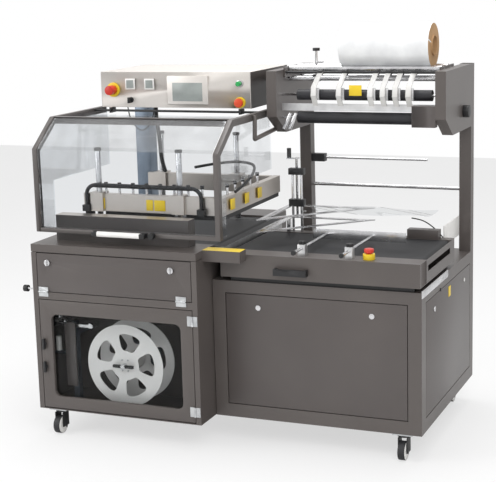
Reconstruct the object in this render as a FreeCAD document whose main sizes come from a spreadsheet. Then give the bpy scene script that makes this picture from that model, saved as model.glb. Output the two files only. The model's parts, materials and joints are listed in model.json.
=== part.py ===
import FreeCAD, Part
import Sketcher
import math
import os
import re

# An L-bar sealer: a sealing cabinet under a clear hood, an infeed cabinet with a belt table,
# and a film cradle on two rear columns. All sizes are in millimetres. The machine is laid out
# from its left side, its front face and the floor, then moved to stand on the origin.

doc = FreeCAD.newDocument("l_bar_sealer")
sheet = doc.addObject("Spreadsheet::Sheet", "Sizes")

sizes = {
    # cabinets
    "floor_gap": 108, "skin": 2, "seam": 3, "left_wide": 740, "machine_deep": 985, "left_tall": 665,
    "cap_tall": 33, "right_wide": 860, "set_back": 144, "right_tall": 564, "frame_deep": 20,
    "post_wide": 20, "pan_deep": 16, "fit_gap": 0.3, "skirt": 8,
    # doors and panels of the cabinets
    "rail_tall": 30, "window_side": 52, "window_low": 50, "window_tall": 350, "window_round": 26,
    "pane_thick": 4, "pane_lap": 12, "hinge_wide": 44, "hinge_tall": 40, "leaf_thick": 3, "knuckle": 5,
    "hinge_inset": 45, "flap_hinge_in": 50, "flap_hinge_end": 69, "front_panel_side": 54,
    "panel_low": 54, "panel_top": 49,
    "side_panel_inset": 60, "lock_dia": 22, "lock_out": 5, "latch_long": 44, "latch_wide": 18,
    "latch_out": 14, "floor_plate": 4, "header_tall": 20, "inner_wall": 290, "bed_drop": 30,
    "bed_inset": 3, "latch_stem": 9, "latch_x": 40, "flap_latch_left": 85, "cam_back": 21,
    "cam_reach": 30, "side_lock_back": 324,
    # castors
    "castor_pin": 12, "crown_dia": 56, "crown_tall": 12, "running": 0.05, "castor_in": 80,
    "plate_size": 80, "plate_thick": 6, "wheel_dia": 75, "wheel_wide": 28, "axle_dia": 10,
    "fork_thick": 4, "castor_trail": 22,
    # cap of the sealing cabinet and what stands on it
    "bed_left": 90, "bed_front": 180, "bed_rear": 155, "jaw_wide": 40, "jaw_front": 185,
    "jaw_left": 152, "lower_jaw_tall": 44, "jaw_open": 100, "blade_tall": 20, "blade_wide": 14,
    "bar_tall": 72, "bar_thick": 30, "front_box_left": 66, "front_box_front": 100,
    "front_box_deep": 60, "front_box_tall": 107, "guide_dia": 24, "guide_left": 218,
    "guide_cap_dia": 30, "guide_cap_tall": 12, "block_size": 56, "block_tall": 78,
    # hood
    "hood_front": 47, "hood_top_front": 200, "hood_back": 655, "hood_bar": 28, "glazing": 5,
    "notch_front": 165, "hinge_back": 550, "hinge_bar": 10, "handle_left": 300, "handle_long": 190,
    "handle_out": 34, "handle_dia": 22, "hood_knob_dia": 26, "hood_side": 20, "pivot_in": 8,
    "glass_in": 8, "lug_in": 43, "lug_wide": 8,
    # control box
    "box_left": 57, "box_tall": 152, "post_left": 55, "post_size": 70, "beam_tall": 90,
    # columns and film head
    "column": 50, "column_wall": 3, "head_slope": 113, "head_wide": 43, "cradle_dia": 28,
    "cradle_gap": 100, "film_dia": 178, "film_long": 376, "core_dia": 84, "core_bore": 76,
    "core_out": 6, "rubber_dia": 44, "lower_dia": 48, "shaft_dia": 16, "tie_dia": 16,
    "finger_wide": 22, "finger_thick": 3, "stop_tall": 96, "stop_disc_up": 67,
    "cover_deep": 36, "cover_tall": 84,
    "guide_plate_tall": 30, "head_knob_dia": 50, "head_knob_out": 25, "idler_dia": 16, "rod_dia": 11,
    "rod_long": 522, "clamp_long": 60, "clamp_tall": 34, "shaft_small": 10, "bracket": 6,
    "plate_reach": 106, "plate_drop": 32, "stop_block": 28, "stop_pin": 30,
    # infeed table
    "clamp_size": 30, "slot_up": 42, "slot_tall": 23, "slot_side": 22, "neck_in": 30,
    "guard_front": 60, "cross_gap": 5, "table_front": 122, "rail_front": 93, "belt_wide": 385,
    "rail_rear": 47, "belt_thick": 3, "belt_dip": 2, "roller_dia": 34, "belt_end_in": 4,
    "track_wide": 30, "track_thick": 3, "track_drop": 22, "guard_wide": 160, "guard_tall": 45,
    "pull_wide": 135, "pull_out": 28, "pull_tall": 26, "pull_bar": 9, "button_base_dia": 46,
    "button_base_tall": 22, "button_base_short": 14, "button_dia": 38, "button_tall": 16,
    "button_stem": 20, "button_travel": 4, "rod_height": 30, "slide_rod_dia": 12, "guide_long": 390,
    "guide_plate": 4, "guide_tall": 40, "star_dia": 30, "star_tall": 12, "rear_cover_wide": 130,
    "rear_cover_tall": 36,
    # film former and its height adjuster
    "former_leg": 378, "former_bar": 24, "former_thick": 4, "former_gap": 50, "adjust_pitch": 19,
    "adjust_dia": 11, "adjust_head": 26, "carriage_wide": 66, "carriage_deep": 30, "crank_arm": 42,
    "crank_grip": 40, "crank_grip_dia": 18, "crank_up": 40,
    # scrap winder behind the window
    "reel_dia": 344, "reel_front": 60, "reel_gap": 105, "reel_disc": 3, "reel_hub": 76,
    "reel_window_in": 60, "reel_window_out": 138, "reel_shaft": 20, "motor_size": 110, "grip_long": 92,
    "winder_post_x": 112, "winder_post": 26, "arm_long": 96, "arm_roller": 24, "knob_back": 26,
    "knob_dia": 28, "knob_long": 20, "knob_rod": 8, "knob_reach": 38, "motor_deep": 90, "grip_bar": 12,
    "arm_bar": 12, "winder_back": 96, "roller_long": 60, "arm_reach": 60, "conduit_dia": 16,
    "conduit_rise": 36, "conduit_bend": 40, "junction_tall": 26,
    # control panel fittings, measured from the panel's left end and top
    "switch_in": 60, "switch_down": 77, "switch_dia": 62, "switch_knob": 40, "meter_in": 120,
    "meter_down": 29, "meter_wide": 46, "meter_pitch": 92, "selector_in": 144, "selector_down": 120,
    "selector_dia": 24, "screen_in": 320, "screen_down": 16, "screen_wide": 190, "screen_tall": 120,
    "green_down": 47, "red_down": 126, "green_dia": 30, "green_head": 21,
    # offsets that place the pieces above
    "table_gap": 50, "column_gap": 93, "head_step": 17, "film_in": 231, "roller_in_left": 72,
    "roller_in_right": 27, "stop_in": 107, "cover_wide": 95, "guide_in": 155, "hood_over": 82,
    "box_over": 20, "front_box_in": 74, "adjust_in_left": 142, "former_in_left": 100,
    "guide_to_stop": 327, "clamp_in_left": 58, "clamp_pitch": 192, "stop_in_right": 211,
    "rear_cover_in": 185, "pull_in_left": 232, "lock_in": 195, "flap_latch_in": 100,
    "conduit_over": 105, "conduit_in": 20, "button_in_right": 46, "reel_shift": 8, "beam_deep": 40,
    "jaw_in_back": 170, "post_in_back": 135, "box_step": 6, "head_deep": 480, "cradle_in": 195,
    "nip_in": 65, "finger_in": 99, "head_knob_in": 295, "adjust_in": 22, "former_in": 140,
    "rail_middle": 43, "slide_rod_out": 50, "guide_in_front": 328, "jaw_below_cap": 6,
    "guide_tall_post": 380, "hood_above_cap": 43, "hood_low_bar_tall": 17, "hood_knee_tall": 340,
    "hood_tall": 455, "notch_tall": 196, "box_gap": 6, "beam_up": 30, "column_tall": 798,
    "head_nose_tall": 187, "head_tall": 261, "nip_down": 100, "draw_down": 193,
    "finger_down_pivot": 12, "tie_down": 42, "cover_down": 220, "guide_plate_down": 166,
    "head_knob_down": 184, "idler_above": 266, "rod_above": 385, "neck_tall": 23, "table_tall": 91,
    "former_above": 59, "adjust_tall": 244, "guard_down": 23, "pull_above": 20, "door_zone": 470,
    "reel_above": 199, "latch_low_above": 182, "latch_high_above": 280, "flap_latch_above": 154,
    "arm_above": 344, "knob_above": 34, "scrap_in": 70,
    # strap fingers, from their rod: out and down to the elbow, the belly and the tip
    "finger_a": 158, "finger_b": 265, "finger_c": 396, "finger_d": 448, "finger_e": 499,
    "finger_f": 553, "elbow_out": 84, "elbow_down": 53, "belly_out": 91, "belly_down": 88,
    "tip_out": 64, "tip_down": 128,
    # half widths of the openings in the reel discs
    "opening_low": 28, "opening_high": 56,
}

# Places that follow from the sizes. Each is written into an expression where it is named.
lines = {
    "table_left": "left_wide + table_gap",
    "column_left": "left_wide + column_gap",
    "head_left": "column_left + head_step",
    "film_left": "head_left + head_wide + film_in",
    "roller_left": "head_left + head_wide + roller_in_left",
    "roller_right": "left_wide + right_wide - head_wide - roller_in_right",
    "stop_left": "head_left + head_wide + stop_in",
    "cover_left": "left_wide + right_wide - head_wide - cover_wide",
    "guide_right": "left_wide - guide_in",
    "hood_wide": "left_wide + hood_over",
    "box_wide": "left_wide - box_left + box_over",
    "front_box_wide": "left_wide - front_box_left - front_box_in",
    "adjust_x": "table_left + adjust_in_left",
    "former_left": "table_left + former_in_left",
    "guide_x": "stop_x - guide_to_stop",
    "clamp_one": "guide_x + clamp_in_left",
    "clamp_two": "clamp_one + clamp_pitch",
    "stop_x": "left_wide + right_wide - stop_in_right",
    "rear_cover_x": "left_wide + right_wide - rear_cover_in",
    "pull_left": "table_left + pull_in_left",
    "lock_left": "left_wide + seam + lock_in",
    "lock_right": "left_wide + right_wide - lock_in",
    "flap_latch_right": "left_wide - flap_latch_in",
    "conduit_right": "guide_right + conduit_over",
    "conduit_left": "jaw_left + conduit_in",
    "button_in": "box_wide - button_in_right",
    "reel_x": "left_wide / 2 + reel_shift",
    "back_edge": "machine_deep - beam_deep",
    "jaw_back": "machine_deep - jaw_in_back",
    "post_front": "machine_deep - post_in_back",
    "box_front": "hinge_back + box_step",
    "head_front": "machine_deep - head_deep",
    "cradle_mid": "head_front + cradle_in",
    "nip_back": "head_front + nip_in",
    "finger_pivot_back": "head_front + finger_in",
    "head_knob_back": "head_front + head_knob_in",
    "adjust_back": "table_front + rail_front + belt_wide + adjust_in",
    "former_front": "table_front + former_in",
    "stop_back": "table_front + rail_middle",
    "clamp_back": "table_front + rail_middle",
    "slide_rod_front": "table_front - slide_rod_out",
    "guide_back": "table_front + guide_in_front",
    "cap_top": "floor_gap + left_tall + cap_tall",
    "lower_jaw_top": "cap_top - jaw_below_cap",
    "guide_top": "lower_jaw_top + guide_tall_post",
    "hood_low": "cap_top + hood_above_cap",
    "hood_bar_top": "hood_low + hood_low_bar_tall",
    "hood_knee": "hood_low + hood_knee_tall",
    "hood_top": "hood_low + hood_tall",
    "notch_top": "hood_low + notch_tall",
    "box_low": "hood_top + box_gap",
    "beam_low": "box_low + beam_up",
    "head_top": "floor_gap + right_tall + column_tall",
    "head_nose": "head_top - head_nose_tall",
    "head_low": "head_top - head_tall",
    "rubber_mid": "head_top - nip_down",
    "lower_mid": "head_top - draw_down",
    "finger_pivot_up": "head_top - finger_down_pivot",
    "tie_up": "head_top - tie_down",
    "cover_low": "head_top - cover_down",
    "guide_plate_low": "head_top - guide_plate_down",
    "head_knob_up": "head_top - head_knob_down",
    "idler_up": "floor_gap + right_tall + idler_above",
    "rod_up": "floor_gap + right_tall + rod_above",
    "table_low": "floor_gap + right_tall + neck_tall",
    "table_top": "table_low + table_tall",
    "former_low": "table_top + former_above",
    "adjust_top": "table_top + adjust_tall",
    "guard_low": "table_top - guard_down",
    "pull_low": "table_low + pull_above",
    "rail_low": "floor_gap + door_zone",
    "reel_up": "floor_gap + reel_above",
    "latch_low": "floor_gap + latch_low_above",
    "latch_high": "floor_gap + latch_high_above",
    "flap_latch_up": "rail_low + flap_latch_above",
    "arm_up": "floor_gap + arm_above",
    "knob_up": "rail_low + knob_above",
}
row = 1
for name, value in sizes.items():
    sheet.set(f"A{row}", name)
    sheet.set(f"B{row}", str(value))
    sheet.setAlias(f"B{row}", name)
    row += 1
doc.recompute()


def tie(text):
    """Puts the sheet's name before each size, and writes out each named place."""
    def swap(match):
        word = match.group(0)
        if word in lines:
            return "(" + tie(lines[word]) + ")"
        return "Sizes." + word if word in sizes else word
    return re.sub(r"[a-z]\w*", swap, text)


def value(text):
    """The number that an expression of named sizes gives."""
    return float(sheet.evalExpression(tie(str(text))))


# Levels and lines that several pieces share.
left_top = "(floor_gap + left_tall)"
cap_top = "cap_top"
right_top = "(floor_gap + right_tall)"
right_end = "(left_wide + right_wide)"
back_line = "(machine_deep - column)"
column_right = "(left_wide + right_wide - column)"
head_right = "(left_wide + right_wide - head_wide)"
table_long = "(left_wide + right_wide - table_left)"
belt_front = "(table_front + rail_front)"
table_deep = "(rail_front + belt_wide + rail_rear)"
center_x = "((left_wide + right_wide + head_knob_out - knob_reach - knob_long) / 2)"
center_y = "((machine_deep - latch_out) / 2)"

turn = {
    "Z": FreeCAD.Rotation(),
    "X": FreeCAD.Rotation(FreeCAD.Vector(0, 1, 0), 90),
    "Y": FreeCAD.Rotation(FreeCAD.Vector(1, 0, 0), -90),
}


def bind(item, **props):
    for prop, text in props.items():
        item.setExpression(prop, tie(str(text)))
    return item


def place(item, x, y, z):
    item.setExpression("Placement.Base.x", tie(f"({x}) - {center_x}"))
    item.setExpression("Placement.Base.y", tie(f"({y}) - {center_y}"))
    item.setExpression("Placement.Base.z", tie(f"{z}"))
    return item


def block(name, x, y, z, wide, deep, tall):
    """A box from its low corner."""
    item = doc.addObject("Part::Box", name)
    bind(item, Length=wide, Width=deep, Height=tall)
    return place(item, x, y, z)


def rod(name, axis, x, y, z, dia, length):
    """A cylinder along one axis from the middle of its low end."""
    item = doc.addObject("Part::Cylinder", name)
    bind(item, Radius=f"({dia}) / 2", Height=length)
    item.Placement = FreeCAD.Placement(FreeCAD.Vector(), turn[axis])
    return place(item, x, y, z)


def cut(name, base, *tools):
    """Cuts each tool from the base in turn."""
    for number, tool in enumerate(tools):
        last = number == len(tools) - 1
        item = doc.addObject("Part::Cut", name if last else f"{name}_step{number}")
        item.Base = base
        item.Tool = tool
        base = item
    return base


def fuse(name, *items):
    item = doc.addObject("Part::MultiFuse", name)
    item.Shapes = list(items)
    item.Refine = True
    return item


def group(name, *items):
    """Separate solids that are stored as one node."""
    item = doc.addObject("Part::Compound", name)
    item.Links = list(items)
    return item


def plane_of(body, role):
    for feature in body.Origin.OriginFeatures:
        if feature.Role == role:
            return feature


def outline(body, name, role, points):
    """A closed sketch of straight lines whose corners are bound to expressions."""
    sketch = body.newObject("Sketcher::SketchObject", name)
    sketch.AttachmentSupport = [(plane_of(body, role), "")]
    sketch.MapMode = "FlatFace"
    corners = [FreeCAD.Vector(value(u), value(v), 0) for u, v in points]
    count = len(corners)
    for number in range(count):
        sketch.addGeometry(Part.LineSegment(corners[number], corners[(number + 1) % count]), False)
    for number in range(count):
        sketch.addConstraint(Sketcher.Constraint("Coincident", number, 2, (number + 1) % count, 1))
    for number, (u, v) in enumerate(points):
        for kind, text in (("DistanceX", u), ("DistanceY", v)):
            index = sketch.addConstraint(Sketcher.Constraint(kind, -1, 1, number, 1, value(text)))
            sketch.setExpression(f"Constraints[{index}]", tie(str(text)))
    return sketch


def extrusion(name, role, points, length, x, y, z, rounding=None):
    """A body padded from an outline on one of its planes, with its corners rounded if asked."""
    body = doc.addObject("PartDesign::Body", name)
    sketch = outline(body, name + "_outline", role, points)
    pad = body.newObject("PartDesign::Pad", name + "_pad")
    pad.Profile = sketch
    pad.Reversed = role == "XZ_Plane"
    bind(pad, Length=length)
    place(body, x, y, z)
    if rounding:
        doc.recompute()
        direction = {"XY_Plane": 2, "XZ_Plane": 1, "YZ_Plane": 0}[role]
        chosen = []
        for number, edge in enumerate(pad.Shape.Edges):
            along = edge.tangentAt(edge.FirstParameter)[direction]
            if abs(abs(along) - 1) < 1e-6:
                chosen.append(f"Edge{number + 1}")
        fillet = body.newObject("PartDesign::Fillet", name + "_round")
        fillet.Base = (pad, chosen)
        bind(fillet, Radius=rounding)
    return body


def rectangle(wide, tall):
    return [("0", "0"), (wide, "0"), (wide, tall), ("0", tall)]


def loop(name, left, right, front, wide, middle, dia):
    """A bar with round ends, seen from the front, that fills the outside of a belt."""
    radius = f"({dia}) / 2"
    middle_part = block(name + "_mid", f"{left} + {radius}", front, f"{middle} - {radius}",
                        f"{right} - ({left}) - ({dia})", wide, dia)
    low = rod(name + "_low", "Y", f"{left} + {radius}", front, middle, dia, wide)
    high = rod(name + "_high", "Y", f"{right} - {radius}", front, middle, dia, wide)
    return fuse(name, middle_part, low, high)


# A star knob: its middle, its lobes and the circle they stand on, as shares of its width.
hub_share, lobe_share, lobe_ring = 0.62, 0.17, 0.33
lobe_count = 5


def star(name, x, y, z, dia, tall, axis="Z"):
    """A knob with lobes round its middle."""
    middle = rod(name + "_hub", axis, x, y, z, f"{dia} * {hub_share}", tall)
    lobes = [middle]
    for number in range(lobe_count):
        angle = math.radians(90 + 360 / lobe_count * number)
        lobe = doc.addObject("Part::Cylinder", f"{name}_lobe{number}")
        bind(lobe, Radius=f"{dia} * {lobe_share}", Height=tall)
        lobe.Placement = FreeCAD.Placement(FreeCAD.Vector(), turn[axis])
        across = f"{dia} * {lobe_ring * math.cos(angle):.4f}"
        along = f"{dia} * {lobe_ring * math.sin(angle):.4f}"
        if axis == "Z":
            place(lobe, f"{x} + {across}", f"{y} + {along}", z)
        else:
            place(lobe, x, f"{y} + {across}", f"{z} + {along}")
        lobes.append(lobe)
    return fuse(name, *lobes)


def hollow_post(name, x, y, z, side, wall, tall):
    outer = block(name + "_out", x, y, z, side, side, tall)
    inner = block(name + "_in", f"{x} + {wall}", f"{y} + {wall}", f"{z} - 1",
                  f"{side} - 2 * {wall}", f"{side} - 2 * {wall}", f"{tall} + 2")
    return cut(name, outer, inner)


parts = []


def keep(item, label):
    """Marks an object as one of the kept nodes."""
    item.Label = label
    parts.append(item)
    return item


def panels(name, rows):
    """Several plates or bars, each given as x, y, z, wide, deep and tall."""
    return group(name, *[block(f"{name}_{number}", *row) for number, row in enumerate(rows)])


def shell(name, x, y, z, wide, deep, tall):
    """A closed sheet-metal box made of six plates."""
    inner_wide = f"{wide} - 2 * skin"
    inner_tall = f"{tall} - 2 * skin"
    return panels(name, [
        (x, y, z, wide, deep, "skin"),
        (x, y, f"{z} + {tall} - skin", wide, deep, "skin"),
        (x, y, f"{z} + skin", "skin", deep, inner_tall),
        (f"{x} + {wide} - skin", y, f"{z} + skin", "skin", deep, inner_tall),
        (f"{x} + skin", y, f"{z} + skin", inner_wide, "skin", inner_tall),
        (f"{x} + skin", f"{y} + {deep} - skin", f"{z} + skin", inner_wide, "skin", inner_tall),
    ])


def pan(name, x, y, z, wide, deep, tall, face="front"):
    """A folded sheet cover: one face with a return all round, open behind it."""
    outer = block(name + "_out", x, y, z, wide, deep, tall)
    if face == "front":
        inner = block(name + "_in", f"{x} + skin", f"{y} + skin", f"{z} + skin",
                      f"{wide} - 2 * skin", deep, f"{tall} - 2 * skin")
    else:
        inner = block(name + "_in", f"{x} - skin", f"{y} + skin", f"{z} + skin",
                      wide, f"{deep} - 2 * skin", f"{tall} - 2 * skin")
    return cut(name, outer, inner)


def hinge(name, axis, x, z, fixed_side):
    """A butt hinge on the front face. Returns its fixed half and its moving half."""
    size = "hinge_tall" if axis == "Z" else "hinge_wide"
    half = f"{size} / 2 - fit_gap / 2"
    radius = "(leaf_thick + knuckle) / 2"
    reach = "hinge_wide / 2" if axis == "Z" else "hinge_tall / 2"
    tab = f"({radius} + fit_gap)"
    along, across = (f"({x})", f"({z})") if axis == "X" else (f"({z})", f"({x})")
    halves = []
    for number, side in enumerate((fixed_side, -fixed_side)):
        start = f"{along} - ({size}) / 2" if number == 0 else f"{along} + fit_gap / 2"
        leaf_low = f"{across} + {tab}" if side > 0 else f"{across} - {reach}"
        tab_low = across if side > 0 else f"{across} - {tab}"
        if axis == "X":
            leaf = block(f"{name}_leaf{number}", f"{along} - {size} / 2", "-leaf_thick", leaf_low,
                         size, "leaf_thick", f"{reach} - {tab}")
            web = block(f"{name}_web{number}", start, "-leaf_thick", tab_low, half, "leaf_thick", tab)
            barrel = rod(f"{name}_barrel{number}", "X", start, f"-({radius})", z, f"2 * {radius}", half)
        else:
            leaf = block(f"{name}_leaf{number}", leaf_low, "-leaf_thick", f"{along} - {size} / 2",
                         f"{reach} - {tab}", "leaf_thick", size)
            web = block(f"{name}_web{number}", tab_low, "-leaf_thick", start, tab, "leaf_thick", half)
            barrel = rod(f"{name}_barrel{number}", "Z", x, f"-({radius})", start, f"2 * {radius}", half)
        halves.append(fuse(f"{name}_half{number}", leaf, web, barrel))
    return halves


# The sealing cabinet: sheet walls, front posts, a rail, an inner wall and a cap with the bed opening.
inner_wide = "left_wide - 2 * skin"
between_posts = "left_wide - 2 * skin - 2 * post_wide"
post_in = "skin + post_wide"
walls = [
    ("0", "0", "floor_gap", "skin", "machine_deep", "left_tall"),
    ("left_wide - skin", "0", "floor_gap", "skin", "machine_deep", "left_tall - bed_drop"),
    ("left_wide - skin", "0", f"{left_top} - bed_drop", "skin", "bed_front", "bed_drop"),
    ("left_wide - skin", "machine_deep - bed_rear", f"{left_top} - bed_drop", "skin", "bed_rear", "bed_drop"),
    ("skin", "machine_deep - skin", "floor_gap", inner_wide, "skin", "left_tall"),
    ("skin", "0", "floor_gap", inner_wide, "machine_deep - skin", "floor_plate"),
    ("skin", "0", "floor_gap + floor_plate", "post_wide", "frame_deep", "left_tall - floor_plate"),
    ("left_wide - skin - post_wide", "0", "floor_gap + floor_plate", "post_wide", "frame_deep",
     "left_tall - floor_plate"),
    (post_in, "0", "rail_low", between_posts, "frame_deep", "rail_tall"),
    (post_in, "pan_deep + fit_gap", f"{left_top} - header_tall", between_posts, "leaf_thick", "header_tall"),
    ("skin", "inner_wall", "floor_gap + floor_plate", inner_wide, "skin",
     "left_tall - floor_plate - bed_drop"),
]
bed_parts = [("bed_inset", "bed_inset", left_top, "seam"), ("0", "0", f"{left_top} + seam", "cap_tall - seam")]
for inset_x, inset_y, low, tall in bed_parts:
    walls.append((inset_x, inset_y, low, f"left_wide - 2 * {inset_x}", f"bed_front - {inset_y}", tall))
    walls.append((inset_x, "machine_deep - bed_rear", low, f"left_wide - 2 * {inset_x}",
                  f"bed_rear - {inset_y}", tall))
    walls.append((inset_x, "bed_front", low, f"bed_left - {inset_x}",
                  "machine_deep - bed_rear - bed_front", tall))
door_left = "(skin + post_wide + seam)"
door_wide = "(left_wide - 2 * skin - 2 * post_wide - 2 * seam)"
door_low = "(floor_gap + skirt)"
door_tall = "(rail_low - seam - floor_gap - skirt)"
flap_low = "(rail_low + rail_tall + seam)"
flap_tall = "(left_tall + floor_gap - rail_low - rail_tall - 2 * seam)"
hinge_x = "(left_wide - skin - post_wide - seam / 2)"
flap_hinge_z = "(rail_low + rail_tall + seam / 2)"
door_hinges = [hinge("door_hinge_high", "Z", hinge_x, "rail_low - hinge_inset", 1),
               hinge("door_hinge_low", "Z", hinge_x, "floor_gap + skirt + hinge_inset", 1)]
flap_hinges = [hinge("flap_hinge_left", "X", "flap_hinge_in", flap_hinge_z, -1),
               hinge("flap_hinge_right", "X", "left_wide - flap_hinge_end", flap_hinge_z, -1)]
cabinet = panels("cabinet_walls", walls)
side_hole = rod("side_hole", "X", "-skin", "knob_back", "knob_up", "knob_rod + 2 * running", "3 * skin")
cabinet = cut("cabinet", cabinet, side_hole)
housing = shell("front_housing", "front_box_left", "front_box_front", cap_top, "front_box_wide",
                "front_box_deep", "front_box_tall")
keep(group("cabinet_set", cabinet, housing,
           *[pair[0] for pair in door_hinges + flap_hinges]), "sealing_cabinet")

# The window door with its clear pane.
door_plate = block("door_plate", door_left, "0", door_low, door_wide, "pan_deep", door_tall)
window_hole = extrusion("window_hole", "XZ_Plane", rectangle(f"{door_wide} - 2 * window_side", "window_tall"),
                        "pan_deep + 2", f"{door_left} + window_side", "-1",
                        f"{door_low} + window_low", "window_round")
door_back = block("door_back", f"{door_left} + skin", "skin", f"{door_low} + skin",
                  f"window_side - 2 * skin - pane_lap", "pan_deep", f"{door_tall} - 2 * skin")
latch_bores = [rod(f"door_bore{n}", "Y", "latch_x", "-1", up, "latch_stem + 2 * running", "pan_deep + 2")
               for n, up in enumerate(("latch_low", "latch_high"))]
door = cut("door", door_plate, window_hole, door_back, *latch_bores)
keep(group("door_set", door, *[pair[1] for pair in door_hinges]), "window_door")
keep(block("pane", f"{door_left} + window_side - pane_lap", "pan_deep", f"{door_low} + window_low - pane_lap",
           f"{door_wide} - 2 * window_side + 2 * pane_lap", "pane_thick", "window_tall + 2 * pane_lap"),
     "window_pane")

# The drop-down flap above it.
flap_bores = [rod(f"flap_bore{n}", "Y", across, "-1", "flap_latch_up", "latch_stem + 2 * running", "pan_deep + 2")
              for n, across in enumerate(("flap_latch_left", "flap_latch_right"))]
flap_plate = cut("flap_cut", pan("flap_pan", door_left, "0", flap_low, door_wide, "pan_deep", flap_tall), *flap_bores)
keep(group("flap_set", flap_plate, *[pair[1] for pair in flap_hinges]), "flap")


def latch(name, x, z, cam_x, cam_z):
    """A quarter-turn wing latch with a cam that reaches behind the frame."""
    stem = rod(name + "_stem", "Y", x, "-leaf_thick", z, "latch_stem", "leaf_thick + cam_back + leaf_thick")
    base = rod(name + "_base", "Y", x, "-leaf_thick - fit_gap", z, "latch_wide", "leaf_thick")
    wing = block(name + "_wing", f"{x} - latch_wide / 4", "-latch_out", f"{z} - latch_long / 2",
                 "latch_wide / 2", "latch_out - leaf_thick", "latch_long")
    low_x = f"{x} - {cam_x}" if cam_x != "0" else f"{x} - latch_wide / 2"
    wide = f"{cam_x} + latch_wide / 2" if cam_x != "0" else "latch_wide"
    tall = f"{cam_z} + latch_wide / 2" if cam_z != "0" else "latch_wide"
    cam = block(name + "_cam", low_x, "cam_back", f"{z} - latch_wide / 2", wide, "leaf_thick", tall)
    return fuse(name, stem, base, wing, cam)


keep(latch("latch_a", "latch_x", "latch_low", "0", "cam_reach"), "door_latch_low")
keep(latch("latch_b", "latch_x", "latch_high", "0", "cam_reach"), "door_latch_high")
keep(latch("latch_c", "flap_latch_left", "flap_latch_up", "cam_reach", "0"), "flap_latch_left")
keep(latch("latch_d", "flap_latch_right", "flap_latch_up", "cam_reach", "0"), "flap_latch_right")

# The infeed cabinet: frames round a front panel and a side panel.
right_left = "(left_wide + seam)"
right_deep = "(machine_deep - set_back)"
open_left = "(left_wide + seam + front_panel_side)"
open_wide = "(right_wide - seam - 2 * front_panel_side)"
open_low = "(floor_gap + panel_low)"
open_tall = "(right_tall - panel_low - panel_top)"
side_front = "(set_back + side_panel_inset)"
side_deep = "(machine_deep - set_back - 2 * side_panel_inset)"
side_x = f"({right_end} - frame_deep)"
behind = "(set_back + frame_deep)"
rows = [
    (right_left, "set_back", "floor_gap", "right_wide - seam", "frame_deep", "panel_low"),
    (right_left, "set_back", f"{open_low} + {open_tall}", "right_wide - seam", "frame_deep", "panel_top"),
    (right_left, "set_back", open_low, "front_panel_side", "frame_deep", open_tall),
    (f"{open_left} + {open_wide}", "set_back", open_low, "front_panel_side", "frame_deep", open_tall),
    (side_x, behind, "floor_gap", "frame_deep", f"{right_deep} - frame_deep", "panel_low"),
    (side_x, behind, f"{open_low} + {open_tall}", "frame_deep", f"{right_deep} - frame_deep", "panel_top"),
    (side_x, behind, open_low, "frame_deep", "side_panel_inset - frame_deep", open_tall),
    (side_x, f"{side_front} + {side_deep}", open_low, "frame_deep", "side_panel_inset", open_tall),
    (right_left, behind, "floor_gap", "skin", f"{right_deep} - frame_deep", "right_tall - skin"),
    (f"{right_left} + skin", "machine_deep - skin", "floor_gap", f"right_wide - seam - skin - frame_deep",
     "skin", "right_tall - skin"),
    (f"{right_left} + skin", behind, "floor_gap", "right_wide - seam - skin - frame_deep",
     f"{right_deep} - frame_deep - skin", "floor_plate"),
    (right_left, behind, f"{right_top} - skin", "right_wide - seam - frame_deep",
     f"{right_deep} - frame_deep", "skin"),
]
keep(panels("infeed_walls", rows), "infeed_cabinet")
front_panel = pan("front_pan", f"{open_left} + seam", "set_back", f"{open_low} + seam",
                  f"{open_wide} - 2 * seam", "pan_deep", f"{open_tall} - 2 * seam")
locks = [rod(f"front_lock{n}", "Y", across, "set_back - lock_out", f"{open_low} + {open_tall} - panel_low",
             "lock_dia", "lock_out") for n, across in enumerate(("lock_left", "lock_right"))]
keep(group("front_panel_set", front_panel, *locks), "front_panel")
side_panel = pan("side_pan", f"{right_end} - pan_deep", f"{side_front} + seam", f"{open_low} + seam",
                 "pan_deep", f"{side_deep} - 2 * seam", f"{open_tall} - 2 * seam", "right")
side_lock = rod("side_lock", "X", right_end, "side_lock_back", f"{open_low} + {open_tall} - panel_low",
                "lock_dia", "lock_out")
keep(group("side_panel_set", side_panel, side_lock), "side_panel")

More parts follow.
